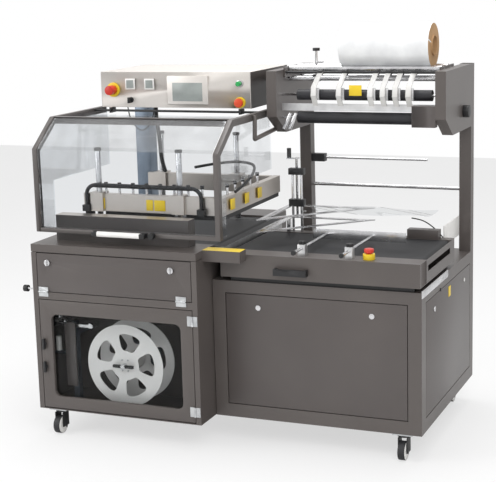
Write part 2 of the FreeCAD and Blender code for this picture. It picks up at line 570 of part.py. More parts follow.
# Four braked castors.
castors = {
    "front_left": ("castor_in", "plate_size / 2 + 2 * seam"),
    "front_right": (f"{right_end} - castor_in", "set_back + plate_size / 2 + seam"),
    "rear_left": ("castor_in", "machine_deep - plate_size / 2 - seam"),
    "rear_right": (f"{right_end} - castor_in", "machine_deep - plate_size / 2 - seam"),
}
plates = []
for corner, (x, y) in castors.items():
    plates.append(block(f"plate_{corner}", f"{x} - plate_size / 2", f"{y} - plate_size / 2",
                        "floor_gap - plate_thick", "plate_size", "plate_size", "plate_thick"))
    plates.append(rod(f"pin_{corner}", "Z", x, y, "floor_gap - plate_thick - crown_tall", "castor_pin",
                      "crown_tall"))
keep(group("castor_plate_set", *plates), "castor_plates")
for corner, (x, y) in castors.items():
    crown_low = "floor_gap - plate_thick - fit_gap - crown_tall"
    crown = rod(f"crown_{corner}", "Z", x, y, crown_low, "crown_dia", "crown_tall")
    bore = rod(f"crown_bore_{corner}", "Z", x, y, f"{crown_low} - 1", "castor_pin + 2 * running",
               "crown_tall + 2")
    solids = [cut(f"crown_cut_{corner}", crown, bore)]
    cheek_gap = "(wheel_wide / 2 + seam / 2)"
    for side, start in (("a", f"{x} - {cheek_gap} - fork_thick"), ("b", f"{x} + {cheek_gap}")):
        solids.append(block(f"cheek_{side}_{corner}", start, f"{y} - castor_trail - axle_dia",
                            "wheel_dia / 2 - axle_dia", "fork_thick", "castor_trail + 2.5 * axle_dia",
                            f"{crown_low} - wheel_dia / 2 + axle_dia"))
    solids.append(rod(f"axle_{corner}", "X", f"{x} - {cheek_gap}", f"{y} - castor_trail", "wheel_dia / 2",
                      "axle_dia", f"2 * {cheek_gap}"))
    keep(group(f"fork_{corner}", *solids), f"castor_fork_{corner}")
    tyre = rod(f"tyre_{corner}", "X", f"{x} - wheel_wide / 2", f"{y} - castor_trail", "wheel_dia / 2",
               "wheel_dia", "wheel_wide")
    bore = rod(f"tyre_bore_{corner}", "X", f"{x} - wheel_wide", f"{y} - castor_trail", "wheel_dia / 2",
               "axle_dia + 2 * running", "2 * wheel_wide")
    keep(cut(f"wheel_{corner}", tyre, bore), f"castor_wheel_{corner}")

# The infeed table: two rails, end plates and a slider bed, with a belt on two rollers.
roller_up = "(table_top - belt_dip - belt_thick - fit_gap - roller_dia / 2)"
rail_tall_table = "(table_top - table_low)"
rear_rail = f"({belt_front} + belt_wide)"
roller_in = "(belt_end_in + belt_thick + fit_gap + roller_dia / 2)"
ends = [f"table_left + {roller_in}", f"{right_end} - skin - {roller_in}"]
inner_plates = []
for number, y in enumerate((f"{belt_front} - skin", rear_rail)):
    plate = block(f"rail_plate{number}", "table_left", y, "table_low", table_long, "skin",
                  f"{rail_tall_table} - skin")
    bores = [rod(f"rail_bore{number}_{n}", "Y", x, f"{y} - skin", roller_up, "shaft_dia + 2 * running",
                 "3 * skin") for n, x in enumerate(ends)]
    inner_plates.append(cut(f"rail_inner{number}", plate, *bores))
slot_low = "(table_low + slot_up)"
table_rows = [
    ("table_left", "table_front", "table_low", table_long, "skin", f"{rail_tall_table} - skin"),
    ("table_left", "table_front", "table_top - skin", table_long, "rail_front", "skin"),
    ("table_left", rear_rail, "table_top - skin", table_long, "rail_rear", "skin"),
    ("table_left", f"{rear_rail} + rail_rear - skin", "table_low", table_long, "skin",
     f"{rail_tall_table} - skin"),
    (f"{right_end} - skin", belt_front, "table_low", "skin", "belt_wide", "slot_up"),
    (f"{right_end} - skin", belt_front, f"{slot_low} + slot_tall", "skin", "belt_wide",
     f"{rail_tall_table} - slot_up - slot_tall - belt_dip"),
    (f"{right_end} - skin", belt_front, slot_low, "skin", "slot_side", "slot_tall"),
    (f"{right_end} - skin", f"{rear_rail} - slot_side", slot_low, "skin", "slot_side", "slot_tall"),
    (f"{right_end} - skin", "table_front + skin", "table_low", "skin", "rail_front - 2 * skin",
     f"{rail_tall_table} - skin"),
    (f"{right_end} - skin", f"{rear_rail} + skin", "table_low", "skin", "rail_rear - 2 * skin",
     f"{rail_tall_table} - skin"),
    (f"{ends[0]} + roller_dia", belt_front, f"{roller_up} + roller_dia / 2 - 2 * skin",
     f"{table_long} - 2 * {roller_in} - skin - 2 * roller_dia", "belt_wide", "skin"),
    ("table_left + neck_in", "table_front + neck_in", right_top, f"{table_long} - 2 * neck_in",
     "2 * skin", f"table_low - skin - {right_top}"),
    ("table_left + neck_in", f"{rear_rail} + rail_rear - 2 * skin", right_top,
     f"{table_long} - 2 * neck_in", "2 * skin", f"table_low - skin - {right_top}"),
    ("table_left", "table_front", "table_low - skin", table_long, table_deep, "skin"),
    ("left_wide", "guard_front", "guard_low", "guard_wide", "table_front - guard_front", "guard_tall"),
]
keep(group("table_set", panels("table_rails", table_rows), *inner_plates), "infeed_table")


def conveyor(name, left, right, front, deep, level):
    """A belt loop with its two end rollers. The level is the roller line."""
    outer = loop(name + "_outer", f"{left} + belt_end_in", f"{right} - belt_end_in", f"{front} + 1",
                 f"{deep} - 2", level, "(roller_dia + 2 * belt_thick + 2 * fit_gap)")
    inner = loop(name + "_inner", f"{left} + belt_end_in + belt_thick",
                 f"{right} - belt_end_in - belt_thick", front, deep, level, "(roller_dia + 2 * fit_gap)")
    belt = cut(name + "_belt", outer, inner)
    rollers = []
    for number, x in enumerate((f"{left} + {roller_in}", f"{right} - {roller_in}")):
        drum = rod(f"{name}_drum{number}", "Y", x, f"{front} + 1", level, "roller_dia", f"{deep} - 2")
        shaft = rod(f"{name}_shaft{number}", "Y", x, f"{front} - skin", level, "shaft_dia",
                    f"{deep} + 2 * skin")
        rollers.append(fuse(f"{name}_roller{number}", drum, shaft))
    return belt, rollers


infeed_belt, infeed_rollers = conveyor("infeed", "table_left", f"({right_end} - skin)", belt_front,
                                       "belt_wide", roller_up)
bed_deep = "(jaw_back - jaw_front - 2 * jaw_wide)"
bed_y = "(jaw_front + jaw_wide)"
bed_up = "(lower_jaw_top - belt_dip - belt_thick - fit_gap - roller_dia / 2)"
bed_belt, bed_rollers = conveyor("bed", "bed_left", "left_wide", bed_y, bed_deep, bed_up)
keep(group("belt_set", infeed_belt, bed_belt), "belts")
keep(infeed_rollers[0], "infeed_roller_left")
keep(infeed_rollers[1], "infeed_roller_right")
keep(bed_rollers[0], "bed_roller_left")
keep(bed_rollers[1], "bed_roller_right")

# The lower sealing bars: front, cross and rear, with the cross bar on a web.
jaw_low = "(lower_jaw_top - lower_jaw_tall)"
cross_x = "(left_wide + cross_gap)"
bars = []
for number, y in enumerate(("jaw_front", "jaw_back - jaw_wide")):
    bar = block(f"lower_bar{number}", "bed_left", y, jaw_low, f"{cross_x} - bed_left", "jaw_wide",
                "lower_jaw_tall")
    bores = [rod(f"bar_bore{number}_{n}", "Y", x, f"{bed_y} - 2 * skin" if number == 0 else
                 "jaw_back - jaw_wide - 1", bed_up, "shaft_dia + 2 * running", "2 * skin + 1")
             for n, x in enumerate((f"bed_left + {roller_in}", f"left_wide - {roller_in}"))]
    bars.append(cut(f"lower_cut{number}", bar, *bores))
bars.append(block("lower_cross", cross_x, "jaw_front", jaw_low, "jaw_wide", "jaw_back - jaw_front",
                  "lower_jaw_tall"))
bars.append(block("cross_web", f"{cross_x} + jaw_wide / 2", "jaw_front", right_top, "3 * skin",
                  "jaw_back - jaw_front", f"{jaw_low} - {right_top}"))
keep(group("lower_set", *bars), "lower_jaws")

# The guide posts and the upper sealing bars that slide down on them.
post_lines = [(x, y) for x in ("guide_left", "guide_right")
              for y in ("jaw_front + jaw_wide / 2", "jaw_back - jaw_wide / 2")]
posts = []
for number, (x, y) in enumerate(post_lines):
    posts.append(rod(f"guide{number}", "Z", x, y, "lower_jaw_top", "guide_dia",
                     "guide_top - guide_cap_tall - lower_jaw_top"))
    posts.append(rod(f"guide_cap{number}", "Z", x, y, "guide_top - guide_cap_tall", "guide_cap_dia",
                     "guide_cap_tall"))
keep(group("guide_set", *posts), "guide_posts")
bar_low = "(lower_jaw_top + jaw_open + blade_tall)"
bar_in = "((jaw_wide - bar_thick) / 2)"
blade_in = "((jaw_wide - blade_wide) / 2)"
solids = [
    block("upper_front", "jaw_left", f"jaw_front + {bar_in}", bar_low, f"{cross_x} - jaw_left", "bar_thick",
          "bar_tall"),
    block("upper_cross", f"{cross_x} + {bar_in}", "jaw_front", bar_low, "bar_thick", "jaw_back - jaw_front",
          "bar_tall"),
    block("upper_rear", "jaw_left", f"jaw_back - jaw_wide + {bar_in}", bar_low, f"{cross_x} - jaw_left",
          "bar_thick", "bar_tall"),
    block("corner_front", f"{cross_x}", f"jaw_front", f"{bar_low} + bar_tall / 2", bar_in, "jaw_wide",
          "bar_tall / 4"),
    block("corner_rear", f"{cross_x}", "jaw_back - jaw_wide", f"{bar_low} + bar_tall / 2", bar_in,
          "jaw_wide", "bar_tall / 4"),
]
solids += [block(f"guide_block{number}", f"{x} - block_size / 2", f"{y} - block_size / 2", bar_low,
                 "block_size", "block_size", "block_tall") for number, (x, y) in enumerate(post_lines)]
frame_solid = fuse("upper_fused", *solids)
bores = [rod(f"guide_bore{number}", "Z", x, y, f"{bar_low} - 1", "guide_dia + 2 * running", "block_tall + 2")
         for number, (x, y) in enumerate(post_lines)]
upper = cut("upper_bored", frame_solid, *bores)
blades = [
    block("blade_front", "jaw_left", f"jaw_front + {blade_in}", f"{bar_low} - blade_tall",
          f"guide_left - block_size / 2 - jaw_left", "blade_wide", "blade_tall"),
    block("blade_middle", "guide_left + block_size / 2", f"jaw_front + {blade_in}",
          f"{bar_low} - blade_tall", "guide_right - guide_left - block_size", "blade_wide", "blade_tall"),
    block("blade_right", "guide_right + block_size / 2", f"jaw_front + {blade_in}",
          f"{bar_low} - blade_tall", f"{cross_x} - guide_right - block_size / 2", "blade_wide", "blade_tall"),
    block("blade_cross", f"{cross_x} + {blade_in}", "jaw_front", f"{bar_low} - blade_tall", "blade_wide",
          "jaw_back - jaw_front", "blade_tall"),
]
junctions = [block(f"junction{number}", f"{x} - conduit_dia", f"jaw_front + {bar_in} - 1.5 * conduit_dia",
                   bar_low, "2 * conduit_dia", "1.5 * conduit_dia", "junction_tall")
             for number, x in enumerate(("conduit_left", "conduit_right"))]
keep(group("upper_set", upper, *blades, *junctions), "upper_jaws")

# The hood: a folded frame with clear panels, hung on a bar under the control box.
hood_left = "(2 * skin)"
hood_right = "(2 * skin + hood_wide)"
pivot_y = "hinge_back"
pivot_z = "(hood_top - pivot_in)"
top_glass_z = "(hood_top - hood_bar)"
knee = "(hood_knee - hood_low)"
rise = "(hood_top - hood_low)"
run = "(hood_top_front - hood_front)"
outer_line = [("0", "0"), ("0", knee), (run, rise), ("hood_back - hood_front", rise)]
# Shares of the bar width that keep it even round the two bends of the hood side.
rise_share, knee_share = 0.34, 0.4
inner_line = [("hood_back - hood_front", f"{rise} - hood_bar"),
              (f"{run} + hood_bar * {rise_share}", f"{rise} - hood_bar"),
              ("hood_bar", f"{knee} - hood_bar * {knee_share}"), ("hood_bar", "0")]
legs = []
for number, x in enumerate((hood_left, f"{hood_right} - hood_side")):
    leg = extrusion(f"leg{number}", "YZ_Plane", outer_line + inner_line, "hood_side", x, "hood_front", "hood_low")
    bore = rod(f"leg_bore{number}", "X", f"{x} - 1", pivot_y, pivot_z, "hinge_bar + 2 * running",
               "hood_side + 2")
    legs.append(cut(f"leg_cut{number}", leg, bore))
clear_left = f"({hood_left} + hood_side)"
clear_wide = "(hood_wide - 2 * hood_side)"
low_bar = block("hood_low_bar", clear_left, "hood_front", "hood_low", clear_wide, "hood_bar",
                "hood_bar_top - hood_low")
top_bar = block("hood_top_bar", clear_left, "hood_top_front", "hood_top - hood_bar", clear_wide,
                "hood_bar", "hood_bar")
legs += [low_bar, top_bar]
handle_y = "(hood_front - handle_out + handle_dia / 2)"
handle_z = "((hood_low + hood_bar_top) / 2)"
legs.append(rod("handle_grip", "X", "handle_left", handle_y, handle_z, "handle_dia", "handle_long"))
for number, x in enumerate(("handle_left - handle_dia", "handle_left + handle_long")):
    legs.append(block(f"handle_end{number}", x, "hood_front - handle_out", "hood_low", "handle_dia",
                      "handle_out", "hood_bar_top - hood_low"))
legs.append(rod("handle_knob", "Y", "handle_left + handle_long + 2 * handle_dia", "hood_front - handle_dia",
                handle_z, "hood_knob_dia", "handle_dia"))
keep(group("hood_frame_set", *legs), "hood_frame")
side_line = [("glass_in", "0"), ("glass_in", f"{knee} - glass_in"), (f"{run} + glass_in", f"{rise} - glass_in"),
             ("hood_back - hood_front", f"{rise} - glass_in"),
             ("hood_back - hood_front", "notch_top - hood_low"), ("notch_front - hood_front", "notch_top - hood_low"),
             ("notch_front - hood_front", "0")]
glass = []
for number, x in enumerate((clear_left, f"{hood_right} - hood_side - glazing")):
    pane = extrusion(f"side_glass{number}", "YZ_Plane", side_line, "glazing", x, "hood_front", "hood_low")
    bore = rod(f"glass_bore{number}", "X", f"{x} - 1", pivot_y, pivot_z, "hinge_bar + 2 * running",
               "glazing + 2")
    glass.append(cut(f"side_pane{number}", pane, bore, low_bar, top_bar))
clear_x = f"{clear_left} + glazing"
wide_glass = f"{clear_wide} - 2 * glazing"
glass.append(block("front_glass", clear_x, "hood_front", "hood_bar_top", wide_glass, "glazing",
                   "hood_knee - hood_bar_top"))
slope_line = [("0", "hood_knee"), ("hood_top_front - hood_front", "hood_top"),
              ("hood_top_front - hood_front", "hood_top - glazing"), ("glazing", "hood_knee")]
slope = extrusion("slope_glass", "YZ_Plane", slope_line, wide_glass, clear_x, "hood_front", "0")
glass.append(slope)
glass.append(block("top_glass", clear_x, "hood_top_front + hood_bar", top_glass_z, wide_glass,
                   f"{pivot_y} - hood_top_front - 2 * hood_bar", "glazing"))
keep(group("hood_glass_set", *glass), "hood_panels")

# The control box on its post, with the hood's hinge bar beneath it.
box_deep = "(machine_deep - box_front)"
box_top = "(box_low + box_tall)"
box_solids = [shell("control_shell", "box_left", "box_front", "box_low", "box_wide", box_deep, "box_tall")]
box_solids.append(hollow_post("control_post", "post_left + 4 * skin", "post_front", cap_top, "post_size",
                              "column_wall", f"box_low - {cap_top}"))
box_solids.append(block("control_beam", "box_left + box_wide", "back_edge", "beam_low",
                        "column_left - box_left - box_wide", "machine_deep - back_edge", "beam_tall"))
box_solids.append(rod("hood_bar_rod", "X", hood_left, pivot_y, pivot_z, "hinge_bar", "hood_wide"))
for number, x in enumerate(("box_left + lug_in", "box_left + box_wide - lug_in - lug_wide")):
    lug = block(f"lug{number}", x, f"{pivot_y} - hinge_bar", f"{pivot_z} - hinge_bar", "lug_wide",
                f"box_front - {pivot_y} + 4 * hinge_bar", f"box_low - {pivot_z} + hinge_bar")
    bore = rod(f"lug_bore{number}", "X", f"{x} - 1", pivot_y, pivot_z, "hinge_bar", "lug_wide + 2")
    box_solids.append(cut(f"lug_cut{number}", lug, bore))
keep(group("control_set", *box_solids), "control_box")


def panel_at(inward, down):
    return f"(box_left + {inward})", f"({box_top} - ({down}))"


def push_button(name, axis, x, y, z, base_dia, base_tall, head_dia):
    """A collar bored through, and a mushroom head whose stem stops clear of the wall behind."""
    stem_dia = f"button_stem * ({head_dia}) / button_dia"

    def part(label, out, dia, long):
        """A round part that starts a given way out from the wall."""
        if axis == "Y":
            return rod(f"{name}_{label}", "Y", x, f"({y}) - ({out}) - ({long})", z, dia, long)
        return rod(f"{name}_{label}", "Z", x, y, f"({z}) + ({out})", dia, long)

    collar = part("collar", "0", base_dia, base_tall)
    bore = part("bore", "-fit_gap", f"{stem_dia} + 2 * running", f"{base_tall} + 2 * fit_gap")
    head = part("head", f"{base_tall} + button_travel", head_dia, "button_tall")
    stem = part("stem", "button_travel + fit_gap", stem_dia, f"{base_tall} - fit_gap")
    return cut(name + "_base", collar, bore), fuse(name + "_push", head, stem)


fittings = []
sx, sz = panel_at("switch_in", "switch_down")
dial = rod("switch_disc", "Y", sx, "box_front - 3 * skin", sz, "switch_dia", "3 * skin")
dial_bore = rod("switch_bore", "Y", sx, "box_front - 4 * skin", sz, "axle_dia + 2 * running", "3 * skin")
fittings.append(cut("switch_base", dial, dial_bore))
keep(fuse("switch_turn", rod("switch_grip", "Y", sx, "box_front - 3 * skin - fit_gap - switch_knob", sz,
                             "switch_knob", "switch_knob"),
          rod("switch_stem", "Y", sx, "box_front - 3 * skin - fit_gap - 1", sz, "axle_dia", "2 * skin + fit_gap")),
     "main_switch")
for number in range(2):
    mx, mz = panel_at(f"meter_in + {number} * meter_pitch", "meter_down + meter_wide")
    fittings.append(block(f"meter{number}", mx, "box_front - 3 * skin", mz, "meter_wide", "3 * skin",
                          "meter_wide"))
vx, vz = panel_at("screen_in", "screen_down + screen_tall")
fittings.append(block("screen", vx, "box_front - 3 * skin", vz, "screen_wide", "3 * skin", "screen_tall"))
cx, cz = panel_at("selector_in", "selector_down")
ring = rod("selector_ring", "Y", cx, "box_front - 3 * skin", cz, "selector_dia", "3 * skin")
ring_bore = rod("selector_bore", "Y", cx, "box_front - 4 * skin", cz, "axle_dia + 2 * running", "3 * skin")
fittings.append(cut("selector_base", ring, ring_bore))
keep(fuse("selector_turn", block("selector_lever", f"{cx} - selector_dia / 6", "box_front - 3 * skin - selector_dia",
                                 f"{cz} - selector_dia / 2", "selector_dia / 3", "selector_dia - fit_gap",
                                 "selector_dia"),
          rod("selector_stem", "Y", cx, "box_front - 3 * skin - fit_gap - 1", cz, "axle_dia",
              "2 * skin + fit_gap")), "selector_knob")
gx, gz = panel_at("button_in", "green_down")
collar, push = push_button("green", "Y", gx, "box_front", gz, "green_dia", "button_base_tall / 2", "green_head")
fittings.append(collar)
keep(push, "start_button")
rx, rz = panel_at("button_in", "red_down")
collar, push = push_button("red", "Y", rx, "box_front", rz, "button_base_dia", "button_base_short", "button_dia")
fittings.append(collar)
keep(push, "stop_button_panel")
collar, push = push_button("table_red", "Z", "stop_x", "stop_back", "table_top", "button_base_dia",
                           "button_base_tall", "button_dia")
fittings.append(collar)
keep(push, "stop_button_table")
keep(group("fitting_set", *fittings), "panel_fittings")

# The film head on the two rear columns.
head_line = [("0", "head_top - head_low"), ("0", "head_nose - head_low"), ("head_slope", "0"),
             (f"{back_line} - head_front", "0"), (f"{back_line} - head_front", "head_top - head_low")]
wall_line = [("column_wall", "head_top - head_low - column_wall"), ("column_wall", "head_nose - head_low + skin"),
             ("head_slope + skin", "column_wall"), (f"{back_line} - head_front - column_wall", "column_wall"),
             (f"{back_line} - head_front - column_wall", "head_top - head_low - column_wall")]
cradle_ys = ["cradle_mid - cradle_gap / 2", "cradle_mid + cradle_gap / 2"]
nip = ("nip_back", "rubber_mid")
lower = ("nip_back", "lower_mid")
inside_left = "(head_left + head_wide)"
inside_right = head_right
inside_wide = f"({head_right} - head_left - head_wide)"
head_solids = []
for number, (x, wall_x) in enumerate((("head_left", inside_left + " - column_wall - 1"),
                                      (head_right, f"{head_right} - 1"))):
    outer = extrusion(f"head_outer{number}", "YZ_Plane", head_line, "head_wide", x, "head_front", "head_low")
    hollow = extrusion(f"head_hollow{number}", "YZ_Plane", wall_line, "head_wide - 2 * column_wall",
                       f"{x} + column_wall", "head_front", "head_low")
    bores = [rod(f"head_bore{number}_{n}", "X", wall_x, y, z, "shaft_small + 2 * running", "column_wall + 2")
             for n, (y, z) in enumerate((nip, lower))]
    if number == 1:
        bores.append(rod("knob_bore", "X", f"{right_end} - column_wall - 1", "head_knob_back", "head_knob_up",
                         "shaft_small + 2 * running", "column_wall + 2"))
    head_solids.append(cut(f"head{number}", outer, hollow, *bores))
idler_y = "(machine_deep - column / 2)"
for number, (x, wall_x) in enumerate((("column_left", "column_left + column - column_wall - 1"),
                                      (column_right, f"{column_right} - 1"))):
    post = hollow_post(f"column{number}", x, back_line, right_top, "column", "column_wall",
                       f"head_top - {right_top}")
    bore = rod(f"column_bore{number}", "X", wall_x, idler_y, "idler_up", "shaft_small + 2 * running",
               "column_wall + 2")
    head_solids.append(cut(f"column_cut{number}", post, bore))
for number, x in enumerate((inside_left, f"{inside_right} - bracket")):
    plate = block(f"cradle_plate{number}", x, "cradle_mid - plate_reach", "head_top - plate_drop", "bracket",
                  "2 * plate_reach", "plate_drop + shaft_small")
    bores = [rod(f"cradle_bore{number}_{n}", "X", f"{x} - 1", y, "head_top", "shaft_small + 2 * running",
                 "bracket + 2") for n, y in enumerate(cradle_ys)]
    bores.append(rod(f"pivot_bore{number}", "X", f"{x} - 1", "finger_pivot_back", "finger_pivot_up",
                     "shaft_small + 2 * running", "bracket + 2"))
    head_solids.append(cut(f"cradle_cut{number}", plate, *bores))
head_solids.append(shell("motor_shell", "cover_left", "head_front", "cover_low", f"{head_right} - cover_left",
                         "cover_deep", "cover_tall"))
keep(group("head_set", *head_solids), "film_head")
rods = [
    rod("tie_front", "X", inside_left, "cradle_mid - cradle_gap / 2", "tie_up", "tie_dia", inside_wide),
    rod("tie_rear", "X", inside_left, "cradle_mid + cradle_gap", "tie_up", "tie_dia", inside_wide),
    rod("stop_rail", "X", inside_left, "cradle_mid", "tie_up", "tie_dia", inside_wide),
    block("guide_sheet", inside_left, "nip_back - skin", "guide_plate_low", inside_wide, "2 * skin",
          "guide_plate_tall"),
    rod("edge_rod", "X", "column_left + column + clamp_long", idler_y, "rod_up", "rod_dia", "rod_long - clamp_long"),
    block("edge_clamp", "column_left + column", f"{idler_y} - clamp_tall / 2", "rod_up - clamp_tall / 2",
          "clamp_long", "clamp_tall", "clamp_tall"),
]
keep(group("rod_set", *rods), "head_rods")


def roller(name, y, z, dia, left, right, shaft_left, shaft_right, shaft="shaft_small"):
    drum = rod(name + "_drum", "X", left, y, z, dia, f"{right} - ({left})")
    shaft_rod = rod(name + "_shaft", "X", shaft_left, y, z, shaft, f"{shaft_right} - ({shaft_left})")
    return fuse(name, drum, shaft_rod)


in_left = f"{inside_left} - column_wall - skin"
in_right = f"{inside_right} + column_wall + skin"
keep(roller("nip", *nip, "rubber_dia", "roller_left", "roller_right", in_left, in_right), "nip_roller")
keep(roller("draw", *lower, "lower_dia", "roller_left", "roller_right", in_left, in_right), "draw_roller")
for number, (label, y) in enumerate(zip(("cradle_roller_front", "cradle_roller_rear"), cradle_ys)):
    keep(roller(f"cradle{number}", y, "head_top", "cradle_dia", f"{inside_left} + bracket + seam",
                f"{inside_right} - bracket - seam", inside_left, inside_right), label)
keep(roller("idler", idler_y, "idler_up", "idler_dia", "column_left + column + fit_gap",
            f"{column_right} - fit_gap", "column_left + column - column_wall - skin",
            f"{column_right} + column_wall + skin"), "idler_roller")
film_z = "(head_top + sqrt((film_dia / 2 + cradle_dia / 2)^2 - (cradle_gap / 2)^2) + fit_gap)"
film = rod("film_outer", "X", "film_left", "cradle_mid", film_z, "film_dia", "film_long")
film_core = rod("film_core", "X", "film_left - core_out", "cradle_mid", film_z, "core_dia", "film_long + 2 * core_out")
core_bore = rod("core_bore", "X", "film_left - 2 * core_out", "cradle_mid", film_z, "core_bore",
                "film_long + 4 * core_out")
keep(cut("film_cut", fuse("film_fused", film, film_core), core_bore), "film_roll")

# The strap fingers, on one pivot rod, that lead the film down past the nip roller.
finger_line = [
    ("0", "0"), ("-elbow_out", "-elbow_down"), ("-belly_out", "-belly_down"), ("-tip_out", "-tip_down"),
    ("-tip_out - finger_thick", "-tip_down - finger_thick / 2"), ("-belly_out - finger_thick", "-belly_down"),
    ("-elbow_out - finger_thick", "-elbow_down + finger_thick / 2"), ("-finger_thick / 2", "finger_thick"),
]
fingers = []
for number, x in enumerate(("finger_a", "finger_b", "finger_c", "finger_d", "finger_e", "finger_f")):
    strap_x = f"{inside_left} + {x} - finger_wide / 2"
    strap = extrusion(f"strap{number}", "YZ_Plane", finger_line, "finger_wide", strap_x,
                      "finger_pivot_back", "finger_pivot_up")
    collar = rod(f"strap_collar{number}", "X", strap_x, "finger_pivot_back",
                 "finger_pivot_up", "finger_wide", "finger_wide")
    fingers += [strap, collar]
fingers.append(rod("finger_rod", "X", inside_left, "finger_pivot_back", "finger_pivot_up", "shaft_small",
                   inside_wide))
keep(fuse("finger_set", *fingers), "film_fingers")
stop_base = block("stop_base", "stop_left - stop_block / 2", "cradle_mid - stop_block / 2",
                  "tie_up - stop_block / 2", "stop_block", "stop_block", "stop_block")
stop_stem = rod("stop_stem", "Z", "stop_left", "cradle_mid", "tie_up + tie_dia", "shaft_small",
                "stop_tall")
stop_knob = rod("stop_knob", "Z", "stop_left", "cradle_mid", "tie_up + tie_dia + stop_tall", "star_dia",
                "star_tall")
stop_disc = rod("stop_disc", "X", "stop_left", "cradle_mid", "tie_up + stop_disc_up", "shaft_small", "stop_pin")
stop_bore = rod("stop_bore", "X", "stop_left - stop_block", "cradle_mid", "tie_up", "tie_dia + 2 * running",
                "2 * stop_block")
keep(cut("stop_cut", fuse("stop_fused", stop_base, stop_stem, stop_knob, stop_disc), stop_bore), "film_stop")
keep(fuse("head_knob_set", rod("knob_head", "X", right_end, "head_knob_back", "head_knob_up", "head_knob_dia",
                               "head_knob_out"),
          rod("knob_stem", "X", f"{right_end} - 2 * column_wall - skin", "head_knob_back", "head_knob_up",
              "shaft_small", "head_knob_out")), "head_knob")

# Side guide on two clamped rods, with its clamps and the other table fittings.
rod_z = "(table_top + rod_height)"
clamps = ["clamp_one", "clamp_two"]
fit_solids = []
for number, x in enumerate(clamps):
    post = block(f"clamp_post{number}", f"{x} - clamp_size / 2", "clamp_back - clamp_size / 2", "table_top",
                 "clamp_size", "clamp_size", "rod_height + clamp_size / 2")
    bore = rod(f"clamp_bore{number}", "Y", x, "clamp_back - clamp_size", rod_z,
               "slide_rod_dia + 2 * running", "2 * clamp_size")
    screw_bore = rod(f"screw_bore{number}", "Z", x, "clamp_back", f"{rod_z} + slide_rod_dia / 2", "knob_rod + 2 * running",
                     "clamp_size")
    fit_solids.append(cut(f"clamp_cut{number}", post, bore, screw_bore))
    head = star(f"star{number}", x, "clamp_back", f"{rod_z} + clamp_size / 2 + fit_gap", "star_dia", "star_tall")
    screw = rod(f"star_screw{number}", "Z", x, "clamp_back", f"{rod_z} + slide_rod_dia / 2 + fit_gap", "knob_rod",
                "clamp_size / 2")
    keep(fuse(f"star_set{number}", head, screw), f"clamp_knob_{'left' if number == 0 else 'right'}")
guide_solids = [block("guide_bar", "guide_x", "guide_back", f"{rod_z} - guide_tall / 2", "guide_long",
                      "guide_plate", "guide_tall")]
for number, x in enumerate(clamps):
    guide_solids.append(rod(f"guide_rod{number}", "Y", x, "slide_rod_front", rod_z, "slide_rod_dia",
                            "guide_back - slide_rod_front"))
    guide_solids.append(rod(f"guide_cap_end{number}", "Y", x, "slide_rod_front - star_tall", rod_z,
                            "slide_rod_dia + 2 * seam", "star_tall"))
keep(group("guide_bar_set", *guide_solids), "side_guide")
fit_solids.append(block("rear_cover", "rear_cover_x", rear_rail, "table_top", "rear_cover_wide",
                        "rail_rear - skin", "rear_cover_tall"))
fit_solids.append(block("edge_strip", "former_left + former_leg / 3", f"{rear_rail} - track_wide", "table_top",
                        f"guide_long", "track_wide", "track_thick"))
fit_solids.append(block("ledge_strip", right_end, "set_back", f"{right_top} - track_drop", "track_thick",
                        f"guide_long", "track_wide"))
for number, x in enumerate(("pull_left", "pull_left + pull_wide - pull_bar")):
    fit_solids.append(block(f"pull_leg{number}", x, "table_front - pull_out", "pull_low", "pull_bar", "pull_out",
                            "pull_tall"))
fit_solids.append(block("pull_bar_solid", "pull_left + pull_bar", "table_front - pull_out", "pull_low",
                        "pull_wide - 2 * pull_bar", "pull_bar", "pull_tall"))

# The film former: a fixed lower triangle, and an upper one carried on the height adjuster.
corner_share = 1 + math.sqrt(2)
leg_line = [("0", "0"), ("former_leg", "former_leg"), ("0", "former_leg")]
hole_line = [("former_bar", f"former_bar * {corner_share:.4f}"),
             (f"former_leg - former_bar * {corner_share:.4f}", "former_leg - former_bar"),
             ("former_bar", "former_leg - former_bar")]


def triangle(name, level):
    plate = extrusion(name + "_plate", "XY_Plane", leg_line, "former_thick", "former_left", "former_front", level)
    hole = extrusion(name + "_hole", "XY_Plane", hole_line, "former_thick + 2", "former_left", "former_front",
                     f"{level} - 1")
    return cut(name, plate, hole)


post_xs = ["adjust_x - adjust_pitch", "adjust_x", "adjust_x + adjust_pitch"]
low_tri = triangle("low_tri", "former_low")
tri_bores = [rod(f"low_tri_bore{n}", "Z", x, "adjust_back", "former_low - 1", "adjust_dia + 2 * running",
                 "former_thick + 2") for n, x in enumerate(post_xs)]
fit_solids.append(cut("low_tri_cut", low_tri, *tri_bores))
for number, x in enumerate((post_xs[0], post_xs[2])):
    fit_solids.append(rod(f"adjust_post{number}", "Z", x, "adjust_back", "table_top", "adjust_dia",
                          "adjust_top - table_top"))
fit_solids.append(block("former_leg_foot", "former_left", f"{rear_rail} + skin", "table_top",
                        "former_bar / 2", "former_bar", "former_low - table_top"))
adjust_head = block("adjust_head_block", "adjust_x - carriage_wide / 2", "adjust_back - carriage_deep / 2",
                    "adjust_top", "carriage_wide", "carriage_deep", "adjust_head")
fit_solids.append(cut("adjust_head_cut", adjust_head,
                      rod("adjust_head_bore", "Z", "adjust_x", "adjust_back", "adjust_top - 1",
                          "adjust_dia + 2 * running", "adjust_head + 2")))
keep(group("fit_set", *fit_solids), "table_fittings")
high = "(former_low + former_gap)"
carriage = fuse("carriage_fused", triangle("high_tri", high),
                block("carriage_block", "adjust_x - carriage_wide / 2", "adjust_back - carriage_deep / 2", high,
                      "carriage_wide", "carriage_deep", "carriage_deep"))
bores = [rod(f"carriage_bore{n}", "Z", x, "adjust_back", f"{high} - 1", "adjust_dia + 2 * running",
             "2 * carriage_deep") for n, x in enumerate(post_xs)]
